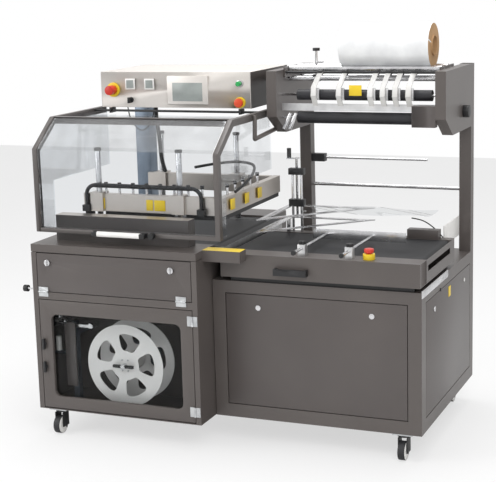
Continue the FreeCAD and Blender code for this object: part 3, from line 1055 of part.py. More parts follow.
keep(cut("carriage", carriage, *bores), "former_carriage")
crank_z = "(adjust_top + adjust_head + crank_up)"
keep(fuse("crank_set",
          rod("crank_screw", "Z", "adjust_x", "adjust_back", "former_low", "adjust_dia",
              f"{crank_z} - former_low"),
          block("crank_arm_bar", "adjust_x - crank_arm", "adjust_back - adjust_dia", crank_z,
                "crank_arm + adjust_dia", "2 * adjust_dia", "2 * skin"),
          rod("crank_grip_rod", "Z", "adjust_x - crank_arm + crank_grip_dia / 2", "adjust_back",
              f"{crank_z} + 2 * skin", "crank_grip_dia", "crank_grip")), "adjuster_crank")

# The scrap winder behind the window.
reel_line = [("-opening_low", "reel_window_in"), ("opening_low", "reel_window_in"),
             ("opening_high", "reel_window_out"), ("-opening_high", "reel_window_out")]


def reel_disc(name, y):
    """A disc with five openings, made in its own plane."""
    body = doc.addObject("PartDesign::Body", name)
    sketch = body.newObject("Sketcher::SketchObject", name + "_rim")
    sketch.AttachmentSupport = [(plane_of(body, "XZ_Plane"), "")]
    sketch.MapMode = "FlatFace"
    sketch.addGeometry(Part.Circle(FreeCAD.Vector(), FreeCAD.Vector(0, 0, 1), value("reel_dia / 2")), False)
    sketch.addConstraint(Sketcher.Constraint("Coincident", 0, 3, -1, 1))
    index = sketch.addConstraint(Sketcher.Constraint("Radius", 0, value("reel_dia / 2")))
    sketch.setExpression(f"Constraints[{index}]", tie("reel_dia / 2"))
    pad = body.newObject("PartDesign::Pad", name + "_pad")
    pad.Profile = sketch
    pad.Reversed = True
    bind(pad, Length="reel_disc")
    hole = outline(body, name + "_window", "XZ_Plane", reel_line)
    pocket = body.newObject("PartDesign::Pocket", name + "_pocket")
    pocket.Profile = hole
    pocket.Type = 1
    pattern = body.newObject("PartDesign::PolarPattern", name + "_five")
    pattern.Originals = [pocket]
    axis = [item for item in body.Origin.OriginFeatures if item.Role == "Y_Axis"][0]
    pattern.Axis = (axis, [""])
    pattern.Angle = 360
    pattern.Occurrences = 5
    body.Tip = pattern
    return place(body, "reel_x", y, "reel_up")


reel_solids = [
    reel_disc("reel_front_disc", "reel_front"),
    reel_disc("reel_rear_disc", "reel_front + reel_gap"),
    rod("reel_hub_rod", "Y", "reel_x", "reel_front", "reel_up", "reel_hub", "reel_gap + reel_disc"),
    rod("reel_shaft_rod", "Y", "reel_x", "reel_front - 2 * grip_bar", "reel_up", "reel_shaft",
        "inner_wall - reel_front - motor_deep + 4 * grip_bar"),
    block("reel_grip", "reel_x - grip_long / 2", "reel_front - 2 * grip_bar", "reel_up - grip_bar / 2",
          "grip_long", "grip_bar", "grip_bar"),
]
keep(fuse("reel_set", *reel_solids), "scrap_reel")
motor = block("motor_block", "reel_x - motor_size / 2", "inner_wall - motor_deep", "reel_up - motor_size / 2",
              "motor_size", "motor_deep", "motor_size")
motor_bore = rod("motor_bore", "Y", "reel_x", "inner_wall - motor_deep - 1", "reel_up", "reel_shaft + 2 * running",
                 "3 * grip_bar")
winder = [cut("motor_cut", motor, motor_bore)]
arm_x = "(winder_post_x + winder_post / 2)"
winder.append(block("winder_post_solid", "winder_post_x", "winder_back", "floor_gap + floor_plate",
                    "winder_post", "winder_post", "arm_up - floor_gap - floor_plate - arm_bar"))
winder.append(block("winder_brace", "winder_post_x", "winder_back + winder_post", "arm_up - 4 * arm_bar",
                    "winder_post", "inner_wall - winder_back - winder_post", "arm_bar"))
boss = block("winder_boss", "winder_post_x", "winder_back", "arm_up - arm_bar", "winder_post",
             "winder_post", "2 * arm_bar")
winder.append(cut("winder_boss_cut", boss, rod("boss_bore", "Y", arm_x, "winder_back - 1", "arm_up",
                                               "axle_dia + 2 * running", "winder_post + 2")))
winder.append(rod("scrap_roller", "Z", "winder_post_x - scrap_in", "winder_back + winder_post / 2",
                  "arm_up - 2 * roller_long", "arm_roller", "roller_long"))
winder.append(block("scrap_bracket", "winder_post_x - scrap_in - arm_roller / 2", "winder_back",
                    "arm_up - 2 * roller_long - arm_bar", "scrap_in + arm_roller / 2", "winder_post", "arm_bar"))
keep(group("winder_set", *winder), "winder_base")
arm = [block("arm_bar_solid", f"{arm_x} - arm_long", "winder_back - fit_gap - arm_bar", "arm_up - arm_bar / 2",
             "2 * arm_long", "arm_bar", "arm_bar"),
       rod("arm_pin", "Y", arm_x, "winder_back - arm_bar", "arm_up", "axle_dia", "winder_post + arm_bar")]
for number, x in enumerate((f"{arm_x} - arm_long + arm_roller / 2", f"{arm_x} + arm_long - arm_roller / 2")):
    arm.append(rod(f"arm_roller{number}", "Y", x, "winder_back - arm_bar - fit_gap", "arm_up", "arm_roller",
                   "arm_reach"))
keep(fuse("arm_set", *arm), "dancer_arm")
keep(fuse("side_knob_set", rod("side_rod", "X", "-knob_reach", "knob_back", "knob_up", "knob_rod",
                               "knob_reach + 3 * skin"),
          rod("side_head", "X", "-knob_reach - knob_long", "knob_back", "knob_up", "knob_dia", "knob_long")),
     "side_knob")


def hose(name, points, dia, bend):
    """A tube along straight runs joined by arcs that touch both. Prints its bend and length."""
    corners = [FreeCAD.Vector(*[value(part) for part in point]) for point in points]
    radius = value(bend)
    edges = []
    start = corners[0]
    for before, corner, after in zip(corners, corners[1:], corners[2:]):
        back = (before - corner).normalize()
        ahead = (after - corner).normalize()
        half = back.getAngle(ahead) / 2
        trim = radius / math.tan(half)
        begin = corner + back * trim
        end = corner + ahead * trim
        middle = (back + ahead).normalize()
        centre = corner + middle * (radius / math.sin(half))
        edges.append(Part.makeLine(start, begin))
        edges.append(Part.Arc(begin, centre - middle * radius, end).toShape())
        start = end
    edges.append(Part.makeLine(start, corners[-1]))
    path = doc.addObject("Part::Feature", name + "_path")
    path.Shape = Part.Wire(edges)
    first = (corners[1] - corners[0]).normalize()
    ring = doc.addObject("Part::Feature", name + "_ring")
    ring.Shape = Part.Wire(Part.makeCircle(value(dia) / 2, corners[0], first))
    tube = doc.addObject("Part::Sweep", name)
    tube.Sections = [ring]
    tube.Spine = path
    tube.Solid = True
    tube.Frenet = False
    print(name, "bend", round(radius, 1), "length", round(path.Shape.Length, 1))
    return place(tube, "0", "0", "0")


hose_top = f"({bar_low} + bar_tall)"
conduit_y = f"(jaw_front + {bar_in} - 2 * conduit_dia / 3)"
conduit = hose("conduit", [
    ("conduit_left", conduit_y, f"{bar_low} + junction_tall"),
    ("conduit_left", conduit_y, f"{hose_top} + conduit_rise"),
    ("conduit_right", conduit_y, f"{hose_top} + conduit_rise"),
    ("conduit_right", conduit_y, f"{bar_low} + junction_tall"),
], "conduit_dia", "conduit_bend")
keep(conduit, "jaw_conduit")

doc.recompute()
bad = []
for item in doc.Objects:
    for state in item.State:
        if "Invalid" in state or "Error" in state:
            bad.append(item.Name)
for item in parts:
    if item.Shape.isNull() or not item.Shape.isValid():
        bad.append(item.Label)
if bad:
    raise SystemExit("bad pieces: " + ", ".join(bad))
os.makedirs("parts", exist_ok=True)
for item in parts:
    item.Shape.exportStep(f"parts/{item.Label}.step")
print(len(parts), "nodes written")
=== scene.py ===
import json
import math

import bmesh
import bpy
from mathutils import Matrix, Vector

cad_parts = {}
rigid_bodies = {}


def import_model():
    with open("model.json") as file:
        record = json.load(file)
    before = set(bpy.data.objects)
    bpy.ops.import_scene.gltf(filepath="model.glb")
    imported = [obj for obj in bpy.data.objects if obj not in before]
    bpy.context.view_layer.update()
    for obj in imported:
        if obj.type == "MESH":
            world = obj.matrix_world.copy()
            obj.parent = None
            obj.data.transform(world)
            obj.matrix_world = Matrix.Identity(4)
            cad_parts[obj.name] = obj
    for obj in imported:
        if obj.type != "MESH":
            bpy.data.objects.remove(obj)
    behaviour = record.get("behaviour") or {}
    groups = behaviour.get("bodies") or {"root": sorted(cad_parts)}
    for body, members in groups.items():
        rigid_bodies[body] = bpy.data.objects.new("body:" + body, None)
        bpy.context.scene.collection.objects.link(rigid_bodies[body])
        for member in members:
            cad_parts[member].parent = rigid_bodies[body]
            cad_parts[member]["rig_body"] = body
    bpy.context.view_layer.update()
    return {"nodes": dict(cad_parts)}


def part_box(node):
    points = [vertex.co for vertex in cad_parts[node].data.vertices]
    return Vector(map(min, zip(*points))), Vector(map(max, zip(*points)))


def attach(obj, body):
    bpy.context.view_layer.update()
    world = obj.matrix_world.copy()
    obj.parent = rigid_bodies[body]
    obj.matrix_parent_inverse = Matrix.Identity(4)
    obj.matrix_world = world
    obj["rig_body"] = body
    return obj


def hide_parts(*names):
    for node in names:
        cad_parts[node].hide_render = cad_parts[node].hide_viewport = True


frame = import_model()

print("frame loaded")


# sRGB hex to the linear colour a shader wants
def linear(hexColour):
    parts = [int(hexColour[i:i + 2], 16) / 255 for i in (1, 3, 5)]
    return [c / 12.92 if c <= 0.04045 else ((c + 0.055) / 1.055) ** 2.4 for c in parts] + [1.0]


def addNode(tree, kind, settings=None, links=None):
    node = tree.nodes.new(kind)
    for key, value in (settings or {}).items():
        if isinstance(key, int) or key in node.inputs and not hasattr(node, key):
            node.inputs[key].default_value = value
        else:
            setattr(node, key, value)
    for socket, source in (links or {}).items():
        tree.links.new(source, node.inputs[socket])
    return node


def newMaterial(name):
    material = bpy.data.materials.new(name)
    material.use_nodes = True
    tree = material.node_tree
    shader = tree.nodes["Principled BSDF"]
    coords = addNode(tree, "ShaderNodeTexCoord")
    return material, tree, shader, coords.outputs["Object"]


# colours is a list of (place, hex)
def stops(ramp, colours):
    elements = ramp.color_ramp.elements
    for index, (place, hexColour) in enumerate(colours):
        element = elements[index] if index < 2 else elements.new(place)
        element.position = place
        element.color = linear(hexColour)


# textured polyester powder: an even satin grain, a little lighter in patches
def powderCoat(name, base, dark, light):
    material, tree, shader, coords = newMaterial(name)
    patch = addNode(tree, "ShaderNodeTexNoise", {"Scale": 3.0, "Detail": 3.0}, {"Vector": coords})
    tone = addNode(tree, "ShaderNodeValToRGB", None, {"Fac": patch.outputs["Fac"]})
    stops(tone, [(0.25, dark), (0.55, base), (0.8, light)])
    tree.links.new(tone.outputs["Color"], shader.inputs["Base Color"])
    grain = addNode(tree, "ShaderNodeTexNoise", {"Scale": 900.0, "Detail": 2.0}, {"Vector": coords})
    bump = addNode(tree, "ShaderNodeBump", {"Strength": 0.12, "Distance": 0.0006},
                   {"Height": grain.outputs["Fac"]})
    tree.links.new(bump.outputs["Normal"], shader.inputs["Normal"])
    shader.inputs["Metallic"].default_value = 0.0
    shader.inputs["Roughness"].default_value = 0.42
    shader.inputs["Coat Weight"].default_value = 0.12
    shader.inputs["Coat Roughness"].default_value = 0.3
    return material


# cold rolled sheet, brushed along one way: fine streaks in tone and gloss
def brushedSteel(name, base, light, stretch, roughness):
    material, tree, shader, coords = newMaterial(name)
    mapping = addNode(tree, "ShaderNodeMapping", {"Scale": stretch}, {"Vector": coords})
    streak = addNode(tree, "ShaderNodeTexNoise", {"Scale": 60.0, "Detail": 4.0, "Roughness": 0.6},
                     {"Vector": mapping.outputs["Vector"]})
    tone = addNode(tree, "ShaderNodeValToRGB", None, {"Fac": streak.outputs["Fac"]})
    stops(tone, [(0.2, base), (0.8, light)])
    tree.links.new(tone.outputs["Color"], shader.inputs["Base Color"])
    gloss = addNode(tree, "ShaderNodeMapRange", {"To Min": roughness - 0.06, "To Max": roughness + 0.08},
                    {"Value": streak.outputs["Fac"]})
    tree.links.new(gloss.outputs["Result"], shader.inputs["Roughness"])
    bump = addNode(tree, "ShaderNodeBump", {"Strength": 0.05, "Distance": 0.0003},
                   {"Height": streak.outputs["Fac"]})
    tree.links.new(bump.outputs["Normal"], shader.inputs["Normal"])
    shader.inputs["Metallic"].default_value = 1.0
    return material


# ground or turned bar: bright, with faint cloudy marks from handling
def turnedMetal(name, base, light, roughness):
    material, tree, shader, coords = newMaterial(name)
    cloud = addNode(tree, "ShaderNodeTexNoise", {"Scale": 22.0, "Detail": 5.0}, {"Vector": coords})
    tone = addNode(tree, "ShaderNodeValToRGB", None, {"Fac": cloud.outputs["Fac"]})
    stops(tone, [(0.3, base), (0.7, light)])
    tree.links.new(tone.outputs["Color"], shader.inputs["Base Color"])
    gloss = addNode(tree, "ShaderNodeMapRange", {"To Min": roughness - 0.05, "To Max": roughness + 0.08},
                    {"Value": cloud.outputs["Fac"]})
    tree.links.new(gloss.outputs["Result"], shader.inputs["Roughness"])
    shader.inputs["Metallic"].default_value = 1.0
    return material


# moulded plastic or rubber: a soft grain with a slight change in tone
def moulded(name, base, light, roughness, grainMm=1.2, strength=0.08):
    material, tree, shader, coords = newMaterial(name)
    patch = addNode(tree, "ShaderNodeTexNoise", {"Scale": 14.0, "Detail": 3.0}, {"Vector": coords})
    tone = addNode(tree, "ShaderNodeValToRGB", None, {"Fac": patch.outputs["Fac"]})
    stops(tone, [(0.3, base), (0.75, light)])
    tree.links.new(tone.outputs["Color"], shader.inputs["Base Color"])
    grain = addNode(tree, "ShaderNodeTexNoise", {"Scale": 1000.0 / grainMm, "Detail": 2.0},
                    {"Vector": coords})
    bump = addNode(tree, "ShaderNodeBump", {"Strength": strength, "Distance": 0.0004},
                   {"Height": grain.outputs["Fac"]})
    tree.links.new(bump.outputs["Normal"], shader.inputs["Normal"])
    shader.inputs["Roughness"].default_value = roughness
    return material


# translucent plastic strip: milky, with light coming through and a sharp gloss
def clearSheet(name, tint, alpha, roughness):
    material, tree, shader, coords = newMaterial(name)
    haze = addNode(tree, "ShaderNodeTexNoise", {"Scale": 2.5, "Detail": 2.0}, {"Vector": coords})
    tone = addNode(tree, "ShaderNodeValToRGB", None, {"Fac": haze.outputs["Fac"]})
    stops(tone, [(0.3, tint), (0.8, "#ffffff")])
    tree.links.new(tone.outputs["Color"], shader.inputs["Base Color"])
    shader.inputs["Roughness"].default_value = roughness
    shader.inputs["IOR"].default_value = 1.49
    shader.inputs["Alpha"].default_value = alpha
    return material

# clear acrylic: light goes straight through, with a faint reflection that grows at a slant
def clearAcrylic(name, tint, shine):
    material, tree, shader, coords = newMaterial(name)
    smear = addNode(tree, "ShaderNodeTexNoise", {"Scale": 6.0, "Detail": 3.0}, {"Vector": coords})
    through = addNode(tree, "ShaderNodeBsdfTransparent", {"Color": linear(tint)})
    gloss = addNode(tree, "ShaderNodeBsdfGlossy", {"Roughness": 0.04})
    slant = addNode(tree, "ShaderNodeLayerWeight", {"Blend": 0.25})
    share = addNode(tree, "ShaderNodeMath", {"operation": "MULTIPLY", 1: shine},
                    {0: slant.outputs["Fresnel"]})
    uneven = addNode(tree, "ShaderNodeMath", {"operation": "MULTIPLY"},
                     {0: share.outputs["Value"], 1: smear.outputs["Fac"]})
    mix = addNode(tree, "ShaderNodeMixShader", None, {
        "Fac": uneven.outputs["Value"], 1: through.outputs["BSDF"], 2: gloss.outputs["BSDF"]})
    tree.links.new(mix.outputs["Shader"], tree.nodes["Material Output"].inputs["Surface"])
    return material


paint = powderCoat("powder coated sheet steel", "#57514e", "#524c4a", "#5c5653")
paintPanel = powderCoat("powder coated panels", "#544e4c", "#4f4947", "#595350")
paintHood = powderCoat("powder coated hood frame", "#5a5553", "#54504e", "#605b58")
stainless = brushedSteel("brushed stainless sheet", "#b9b2ab", "#cfc9c3", (1.0, 30.0, 30.0), 0.34)
stainlessUp = brushedSteel("brushed stainless plate", "#b5b0aa", "#cbc6c0", (30.0, 30.0, 1.0), 0.36)
bright = turnedMetal("ground bright steel", "#c4c4c6", "#dededf", 0.24)
aluminium = turnedMetal("turned aluminium", "#cfcfd0", "#e6e6e6", 0.38)
zinc = turnedMetal("zinc plated steel", "#b4b6b8", "#cfd1d2", 0.36)
blueAlloy = turnedMetal("anodised aluminium extrusion", "#68727e", "#7f8a96", 0.45)
rubberBelt = moulded("woven-back PVC belt", "#1b1b1d", "#242427", 0.62, 2.0, 0.2)
rubberRoll = moulded("nitrile roller rubber", "#17171a", "#232328", 0.5, 1.2)
tyreRubber = moulded("polyurethane tyre", "#202022", "#2c2c2f", 0.55)
blackPlastic = moulded("black moulded nylon", "#161617", "#232325", 0.45)
redPlastic = moulded("red moulded plastic", "#c22a1e", "#d63a2a", 0.3)
orangePlastic = moulded("orange-red button cap", "#d8431f", "#e65a30", 0.3)
yellowPlastic = moulded("yellow moulded plastic", "#e6c21a", "#f2d231", 0.35)
greenPlastic = moulded("green button lens", "#1f9a4a", "#33b062", 0.25)
yellowPatch = moulded("yellow vinyl patch", "#e8c51c", "#f4d637", 0.4, 3.0, 0.02)
whitePlastic = moulded("white moulded plastic", "#e7e5e2", "#f3f2ef", 0.4)
screenGlass = moulded("matt display glass", "#8d9390", "#a2a8a5", 0.18, 6.0, 0.0)
card = moulded("kraft card core", "#b08b62", "#c49f76", 0.8, 3.0, 0.15)
strapPlastic = clearSheet("translucent strap", "#dcdad6", 0.75, 0.4)
filmRoll = moulded("wound shrink film", "#e4e5e6", "#f7f8f8", 0.22, 40.0, 0.1)
# brushed panel plate: its own pale steel, plus a lighter base and metallic lowered to 0.45 as painted reflection of
# the white room
panelPlateWithPaintedReflection = brushedSteel("brushed panel plate with painted reflection", "#d3cdc7", "#e0dbd6", (30.0, 30.0, 1.0), 0.42)
panelPlateWithPaintedReflection.node_tree.nodes["Principled BSDF"].inputs["Metallic"].default_value = 0.45
reelEnamel = moulded("enamelled aluminium reel", "#efedec", "#f8f6f5", 0.35, 2.0, 0.03)
acrylic = clearAcrylic("clear acrylic guard", "#fafbfc", 0.7)
windowClear = clearAcrylic("clear window sheet", "#f5f6f6", 0.7)
filmClear = clearAcrylic("clear shrink film", "#f2f4f5", 2.2)
print("materials made")


nodes = frame["nodes"]
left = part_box("sealing_cabinet")[0].x
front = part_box("sealing_cabinet")[1].y - 0.985


# millimetres from the left side, the front face and the floor
def at(x, y, z):
    return Vector((left + x / 1000, front + y / 1000, z / 1000))


def millimetres(place):
    return ((place.x - left) * 1000, (place.y - front) * 1000, place.z * 1000)


def clearSelection():
    if bpy.context.object and bpy.context.object.mode == "EDIT":
        bpy.ops.object.mode_set(mode="OBJECT")
    bpy.ops.object.select_all(action="DESELECT")


def pick(piece):
    clearSelection()
    piece.select_set(True)
    bpy.context.view_layer.objects.active = piece


# leaves edit mode on, with the faces chosen by centre and normal
def selectFaces(piece, test):
    pick(piece)
    bpy.ops.object.mode_set(mode="EDIT")
    bpy.ops.mesh.select_mode(type="FACE")
    bpy.ops.mesh.select_all(action="DESELECT")
    mesh = bmesh.from_edit_mesh(piece.data)
    for face in mesh.faces:
        face.select = test(face.calc_center_median(), face.normal)
    mesh.select_flush_mode()
    bmesh.update_edit_mesh(piece.data)


def leaveEdit():
    bpy.ops.object.mode_set(mode="OBJECT")


def easeEdges(piece, width, angle=30):
    pick(piece)
    modifier = piece.modifiers.new("edge", "BEVEL")
    modifier.width = width / 1000
    modifier.segments = 2
    modifier.limit_method = "ANGLE"
    modifier.angle_limit = math.radians(angle)
    bpy.ops.object.modifier_apply(modifier="edge")


def finishPiece(piece, name, material, body, smooth=35):
    pick(piece)
    bpy.ops.object.transform_apply(location=True, rotation=True, scale=True)
    piece.name = name
    piece.data.name = name
    if not piece.data.materials:
        piece.data.materials.append(material)
    bpy.ops.object.shade_smooth_by_angle(angle=math.radians(smooth))
    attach(piece, body)
    return piece


# a block with eased edges; inset = (axis, sign, rim mm, depth mm) sinks one face
def softBox(name, low, high, material, body, edge=1.0, inset=None):
    low, high = at(*low), at(*high)
    clearSelection()
    bpy.ops.mesh.primitive_cube_add(size=1, location=(low + high) / 2)
    piece = bpy.context.object
    piece.scale = high - low
    bpy.ops.object.transform_apply(location=True, rotation=True, scale=True)
    if inset:
        axis, sign, rim, depth = inset
        selectFaces(piece, lambda centre, normal: normal[axis] * sign > 0.9)
        bpy.ops.mesh.inset(thickness=rim / 1000, depth=-depth / 1000)
        leaveEdit()
    easeEdges(piece, edge)
    return finishPiece(piece, name, material, body)


# a bar or disc between two points, with eased ends
def turned(name, start, end, radius, material, body, edge=0.8, vertices=32):
    start, end = at(*start), at(*end)
    along = end - start
    clearSelection()
    bpy.ops.mesh.primitive_cylinder_add(vertices=vertices, radius=radius / 1000, depth=along.length,
                                        location=(start + end) / 2,
                                        rotation=along.to_track_quat("Z", "Y").to_euler())
    piece = bpy.context.object
    bpy.ops.object.transform_apply(location=True, rotation=True, scale=True)
    easeEdges(piece, edge)
    return finishPiece(piece, name, material, body)


def joinPieces(name, pieces):
    clearSelection()
    for piece in pieces:
        piece.select_set(True)
    bpy.context.view_layer.objects.active = pieces[0]
    bpy.ops.object.join()
    pieces[0].name = name
    return pieces[0]


def bodyOf(node):
    return nodes[node]["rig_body"]


# the CAD shape with its edges eased and its faces given their own finishes
def dress(node, base, rules=(), edge=0.0, smooth=30):
    source = nodes[node]
    piece = bpy.data.objects.new(node + "_dressed", source.data.copy())
    bpy.context.scene.collection.objects.link(piece)
    piece.data.materials.clear()
    pick(piece)
    bpy.ops.object.mode_set(mode="EDIT")
    bpy.ops.mesh.select_all(action="SELECT")
    bpy.ops.mesh.remove_doubles(threshold=0.00002)
    bpy.ops.mesh.dissolve_limited(angle_limit=math.radians(0.4))
    leaveEdit()
    if edge:
        easeEdges(piece, edge, 40)
    piece.data.materials.append(base)
    for material in [rule[1] for rule in rules]:
        if piece.data.materials.find(material.name) < 0:
            piece.data.materials.append(material)
    for face in piece.data.polygons:
        face.material_index = 0
        x, y, z = millimetres(face.center)
        for test, material in rules:
            if test(x, y, z, face.normal):
                face.material_index = piece.data.materials.find(material.name)
                break
    bpy.ops.object.shade_smooth_by_angle(angle=math.radians(smooth))
    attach(piece, bodyOf(node))
    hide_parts(node)
    return piece


room = {"floorSize": 14.0, "worldStrength": 0.56, "shineShare": 0.8, "keyPower": 82.0,
        "fillPower": 70.0, "topPower": 90.0, "floorGlow": 0.62, "floorHexes": ("#f1f1f1", "#f5f5f5")}


def makeRoom():
    world = bpy.context.scene.world or bpy.data.worlds.new("room")
    bpy.context.scene.world = world
    world.use_nodes = True
    tree = world.node_tree
    tree.nodes.clear()
    rays = addNode(tree, "ShaderNodeLightPath")
    seen = addNode(tree, "ShaderNodeMath", {"operation": "ADD", "use_clamp": True})
    tree.links.new(rays.outputs["Is Camera Ray"], seen.inputs[0])
    tree.links.new(rays.outputs["Is Transmission Ray"], seen.inputs[1])
    shine = addNode(tree, "ShaderNodeMath", {"operation": "MULTIPLY_ADD", "use_clamp": True, 1: room["shineShare"]},
                    {0: rays.outputs["Is Glossy Ray"], 2: seen.outputs["Value"]})
    soft = addNode(tree, "ShaderNodeBackground",
                   {"Color": (1, 1, 1, 1), "Strength": room["worldStrength"]})
    white = addNode(tree, "ShaderNodeBackground", {"Color": (1, 1, 1, 1), "Strength": 1.0})
    mix = addNode(tree, "ShaderNodeMixShader", None, {"Fac": shine.outputs["Value"]})
    tree.links.new(soft.outputs["Background"], mix.inputs[1])
    tree.links.new(white.outputs["Background"], mix.inputs[2])
    addNode(tree, "ShaderNodeOutputWorld", None, {"Surface": mix.outputs["Shader"]})

    clearSelection()
    bpy.ops.mesh.primitive_plane_add(size=room["floorSize"], location=(0, 1.0, 0))
    floor = bpy.context.object
    bpy.ops.object.transform_apply(location=True, rotation=True, scale=True)
    floor.name = "floor"
    material, tree, shader, coords = newMaterial("pale studio floor")
    mottle = addNode(tree, "ShaderNodeTexNoise", {"Scale": 1.2}, {"Vector": coords})
    tone = addNode(tree, "ShaderNodeValToRGB", None, {"Fac": mottle.outputs["Fac"]})
    stops(tone, list(zip((0.2, 0.8), room["floorHexes"])))
    tree.links.new(tone.outputs["Color"], shader.inputs["Base Color"])
    shader.inputs["Roughness"].default_value = 0.7
    glow = addNode(tree, "ShaderNodeEmission", {"Color": (1, 1, 1, 1), "Strength": 1.0})
    rays = addNode(tree, "ShaderNodeLightPath")
    share = addNode(tree, "ShaderNodeMath", {"operation": "MULTIPLY", 1: room["floorGlow"]},
                    {0: rays.outputs["Is Camera Ray"]})
    mix = addNode(tree, "ShaderNodeMixShader", None, {"Fac": share.outputs["Value"]})
    tree.links.new(shader.outputs["BSDF"], mix.inputs[1])
    tree.links.new(glow.outputs["Emission"], mix.inputs[2])
    tree.links.new(mix.outputs["Shader"], tree.nodes["Material Output"].inputs["Surface"])
    floor.data.materials.append(material)

    # name, place, side in metres, watts
    lamps = [("key", (2.6, -3.2, 3.6), 2.6, room["keyPower"]),
             ("fill", (-3.4, -2.6, 2.6), 2.8, room["fillPower"]),
             ("top", (0.0, 0.6, 4.2), 2.6, room["topPower"])]
    for name, place, size, power in lamps:
        light = bpy.data.lights.new(name, "AREA")
        light.shape = "SQUARE"
        light.size = size
        light.energy = power
        lamp = bpy.data.objects.new(name, light)
        bpy.context.scene.collection.objects.link(lamp)
        lamp.location = place
        aim = Vector((0, 0, 0.8)) - Vector(place)
        lamp.rotation_euler = aim.to_track_quat("-Z", "Y").to_euler()


eye = {"place": (2877.7, -4566.2, 1860.0), "yaw": 22.760, "pitch": 11.334, "roll": -1.594, "lens": 96.59}


def makeCamera():
    yaw, pitch, roll = (math.radians(eye[key]) for key in ("yaw", "pitch", "roll"))
    ahead = Vector((-math.sin(yaw) * math.cos(pitch), math.cos(yaw) * math.cos(pitch), -math.sin(pitch)))
    across = Vector((math.cos(yaw), math.sin(yaw), 0))
    up = across.cross(ahead)
    across, up = (math.cos(roll) * across + math.sin(roll) * up,
                  -math.sin(roll) * across + math.cos(roll) * up)
    lens = bpy.data.cameras.new("view")
    lens.lens = eye["lens"]
    lens.sensor_width = 36.0
    lens.clip_end = 50.0
    camera = bpy.data.objects.new("view", lens)
    bpy.context.scene.collection.objects.link(camera)
    turn = Matrix((across, up, -ahead)).transposed().to_4x4()
    camera.matrix_world = Matrix.Translation(at(*eye["place"])) @ turn
    bpy.context.scene.camera = camera


makeRoom()
makeCamera()
bpy.context.scene.view_settings.view_transform = "Standard"
print("room, lamps and camera made")


# hinge halves are what stands proud of the front face
def isHinge(x, y, z, n):
    return y < -0.2


hubRadius = 0.024


def dressCabinets():
    dress("sealing_cabinet", paint, [
        (isHinge, zinc),
        (lambda x, y, z, n: z > 912 and n.z > 0.5, stainless),
        (lambda x, y, z, n: z > 806.5, paintHood),
    ])
    dress("window_door", paint, [(isHinge, zinc)], 0.8)
    dress("flap", paintPanel, [(isHinge, zinc)], 0.8)
    dress("infeed_cabinet", paint)
    dress("front_panel", paintPanel, [(lambda x, y, z, n: y < 143.9, bright)], 0.8)
    dress("side_panel", paintPanel, [(lambda x, y, z, n: x > 1600.1, bright)], 0.8)
    dress("infeed_table", paint, [
        (lambda x, y, z, n: x < 905 and y < 121 and n.z > 0.9, yellowPatch),
        # faces 672 to 694 mm up under the conveyor's edge: black slide rails, their black partly painted shade of
        # the recess there
        (lambda x, y, z, n: z < 694 and abs(n.y) + abs(n.x) > 0.9 and z > 672, blackPlastic),
    ])
    dress("belts", rubberBelt)
    for node in ("door_latch_low", "door_latch_high"):
        dress(node, blackPlastic, edge=0.8)
    dress("castor_plates", zinc)
    for corner in ("front_left", "front_right", "rear_left", "rear_right"):
        dress("castor_fork_" + corner, blackPlastic, edge=0.6)
        low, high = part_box("castor_wheel_" + corner)
        middle = (low + high) / 2
        dress("castor_wheel_" + corner, tyreRubber,
              [(lambda x, y, z, n, m=middle: abs(n.x) > 0.9 and (at(x, y, z) - m).yz.length < hubRadius,
                whitePlastic)], 1.5)
    for node in ("infeed_roller_left", "infeed_roller_right", "bed_roller_left", "bed_roller_right"):
        dress(node, bright)


def dressSealing():
    dress("lower_jaws", aluminium, [
        (lambda x, y, z, n: n.z > 0.9 and z > 799, rubberBelt),
        (lambda x, y, z, n: z < 756, paintPanel),
    ])
    dress("guide_posts", bright, [(lambda x, y, z, n: z > 1167.5, blackPlastic)], 0.8)
    dress("upper_jaws", stainless, [
        (lambda x, y, z, n: z < 919, blackPlastic),
        (lambda x, y, z, n: y < 189 and z < 948, blackPlastic),
    ])
    dress("hood_frame", paintHood, [
        (lambda x, y, z, n: y < 46 and 300 < x < 490.5, whitePlastic),
        (lambda x, y, z, n: y < 46, blackPlastic),
    ], 0.8)
    dress("hood_panels", acrylic)
    dress("window_pane", windowClear)


def dressControls():
    dress("control_box", panelPlateWithPaintedReflection, [
        (lambda x, y, z, n: x > 759 and n.x > 0.9, paint),
        (lambda x, y, z, n: x > 760.5, paint),
        (lambda x, y, z, n: y > 640 and z < 1309.5 and z > 806, blueAlloy),
        (lambda x, y, z, n: y < 555.9, blackPlastic),
        (lambda x, y, z, n: z < 1309.9, blackPlastic),
    ], 0.8)
    dress("panel_fittings", blackPlastic, [
        (lambda x, y, z, n: x > 1000 and z < 812, yellowPlastic),
        (lambda x, y, z, n: 85 < x < 149, yellowPlastic),
        (lambda x, y, z, n: 170 < x < 320 and z > 1380, whitePlastic),
        (lambda x, y, z, n: 370 < x < 580, panelPlateWithPaintedReflection),
        (lambda x, y, z, n: x > 680 and z < 1362, yellowPlastic),
        (lambda x, y, z, n: x > 680, bright),
    ], 0.6)
    dress("main_switch", redPlastic, edge=1.0)
    dress("selector_knob", blackPlastic, edge=0.8)
    dress("start_button", greenPlastic, edge=1.2)
    dress("stop_button_panel", orangePlastic, edge=4.0)
    dress("stop_button_table", redPlastic, edge=4.0)


